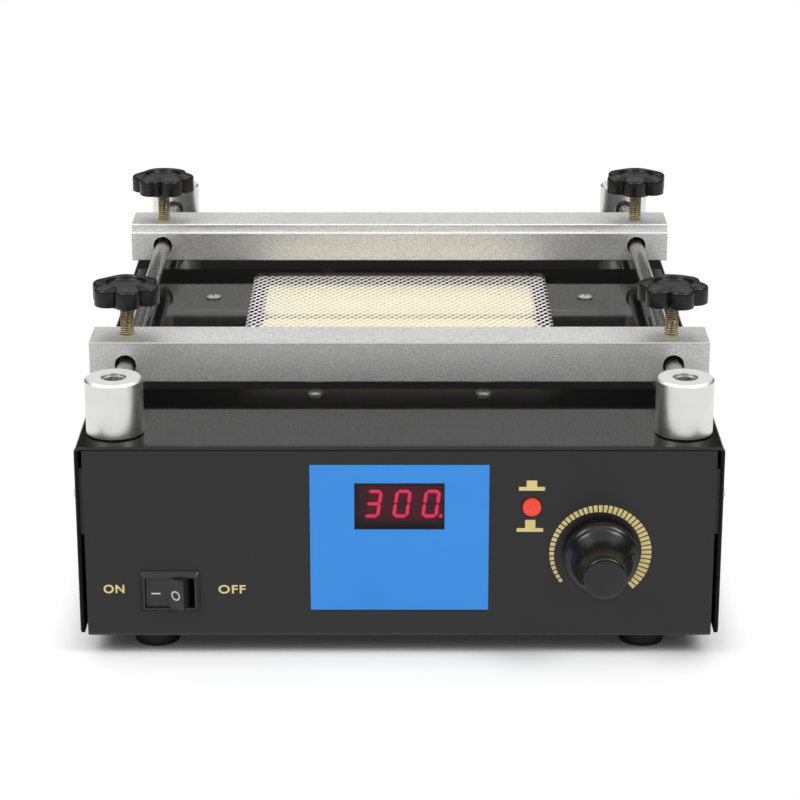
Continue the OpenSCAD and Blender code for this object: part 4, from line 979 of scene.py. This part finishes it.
def words(name, text, centre_x, centre_z, width, height):
    """Letters made a mesh, then fitted to a box on the panel: x = across, z = up, y = out of the panel."""
    curve = bpy.data.curves.new(name, "FONT")
    curve.body, curve.extrude = text, 0.5
    curve.offset, curve.space_character = LETTER_WEIGHT, LETTER_SPACE
    holder = bpy.data.objects.new(name, curve)
    scene.collection.objects.link(holder)
    bpy.context.view_layer.update()
    mesh = bpy.data.meshes.new_from_object(holder.evaluated_get(bpy.context.evaluated_depsgraph_get()))
    bpy.data.objects.remove(holder)
    flat = np.empty(len(mesh.vertices) * 3)
    mesh.vertices.foreach_get("co", flat)
    flat = flat.reshape(-1, 3)
    share = (flat - flat.min(0)) / np.ptp(flat, 0)
    placed = np.stack([
        centre_x + (share[:, 0] - 0.5) * width,
        panel_face + INK_SINK - share[:, 2] * (INK_RISE + INK_SINK),
        centre_z + (share[:, 1] - 0.5) * height,
    ], -1) * MM
    mesh.vertices.foreach_set("co", placed.ravel())
    mesh.update()
    piece = bpy.data.objects.new(name, mesh)
    scene.collection.objects.link(piece)
    mesh.materials.clear()
    return keep(piece, gold_ink, "base", "overlay_film")


words("on_word", "ON", centre_x=-98.9, centre_z=25.5, width=7.2, height=3.2)
words("off_word", "OFF", centre_x=-58.0, centre_z=25.4, width=9.4, height=3.2)

# %% Marks on the rocker
switch_centre, _, _ = middle("switch_housing")
FLAT_PROUD, ROCKER_TURN, CREASE_X, MARKS_Z, MARK_X = 1.1, math.radians(33), -1.1, -0.45, 3.8
RING_OUTER, RING_INNER = [1.85, 1.75], [1.35, 1.25]
crease = np.array([switch_centre[0] + CREASE_X, panel_face - FLAT_PROUD, switch_centre[2] + MARKS_Z])
dash = np.array([block(-1.55, 1.55, -0.25, 0.25)]) + np.array([-MARK_X, 0])
keep(surface("rocker_dash", prisms(dash, crease, X, Z, FRONT)), white_ink, "rocker_body", "rocker_plastic")

slope = math.cos(ROCKER_TURN) * X + math.sin(ROCKER_TURN) * FRONT
slope_out = math.cos(ROCKER_TURN) * FRONT - math.sin(ROCKER_TURN) * X
turn = np.linspace(0, 2 * np.pi, 48, endpoint=False)
oval = np.stack([np.cos(turn), np.sin(turn)], -1)
outer, inner = oval * RING_OUTER + [MARK_X, 0], oval * RING_INNER + [MARK_X, 0]
rim = prisms(np.array([outer, inner]), crease, slope, Z, slope_out)
ring = np.stack([rim[0, 0], rim[0, 1], rim[1, 1], rim[1, 0]])
keep(surface("rocker_ring", ring, ring_rows=True), white_ink, "rocker_body", "rocker_plastic")

# %% [markdown]
# ## The dial knob
#
# The knob is a polished bell: a wide skirt whose shoulder sweeps in to a slim grip, with a small pip as the
# pointer. A spin modifier could turn the profile, but one more grid does it too: each station is carried
# round the axis of the shaft.

# %% Dial knob
KNOB_PROFILE = np.array([
    # radius, distance in front of the skirt's back face
    (3.2, 9.0), (3.2, 0.2), (3.4, 0.0), (12.3, 0.0), (12.7, 0.12), (12.9, 0.5), (12.9, 4.4), (12.82, 5.0),
    (12.6, 5.5), (12.2, 5.9), (11.7, 6.2), (11.2, 6.5), (10.8, 6.9), (10.3, 7.6), (9.7, 8.5), (9.1, 9.5),
    (8.6, 10.6), (8.2, 11.8), (7.9, 13.2), (7.65, 15.0), (7.5, 17.0), (7.42, 19.0), (7.4, 21.6),
    (7.34, 22.1), (7.15, 22.5), (6.85, 22.72), (6.4, 22.82), (5.0, 22.95), (3.0, 23.1), (1.2, 23.2),
    (0.3, 23.2),
])
KNOB_COLUMNS, PIP_COLUMNS, PIP_ROWS, PIP_LIFT = 120, 24, 14, (-30, 86)
PIP_R, PIP_TURN, PIP_FRONT, PIP_SIZE = 10.5, math.radians(11), 7.2, (1.05, 1.05, 1.9)


def knob_grid(back):
    """Each station of the profile is a circle round the shaft, at its distance from the back face."""
    turn = np.linspace(0, 2 * np.pi, KNOB_COLUMNS, endpoint=False)
    radius, front = KNOB_PROFILE.T[:, :, None]
    return np.stack([
        dial_centre[0] + radius * np.cos(turn),
        back - front + 0 * turn,
        dial_centre[2] + radius * np.sin(turn),
    ], -1)


def pip_grid(back):
    """Half an egg on the shoulder: a circle's radius is the cosine and its height the sine of the lift."""
    turn = np.linspace(0, 2 * np.pi, PIP_COLUMNS, endpoint=False)
    lift = np.radians(np.linspace(*PIP_LIFT, PIP_ROWS))[:, None]
    seat = np.array([PIP_R * math.cos(PIP_TURN), 0, PIP_R * math.sin(PIP_TURN)])
    return dial_centre * [1, 0, 1] + seat + np.stack([
        PIP_SIZE[0] * np.cos(lift) * np.cos(turn),
        back - PIP_FRONT - PIP_SIZE[2] * np.sin(lift) + 0 * turn,
        PIP_SIZE[1] * np.cos(lift) * np.sin(turn),
    ], -1)


knob_back = float(middle("temperature_knob")[2][1])
bell, pip = surface("dial_knob", knob_grid(knob_back)), surface("dial_pip", pip_grid(knob_back))
keep(bell, knob_plastic, "dial_body", "knob_plastic", "temperature_knob")
keep(pip, knob_plastic, "dial_body", "knob_plastic")
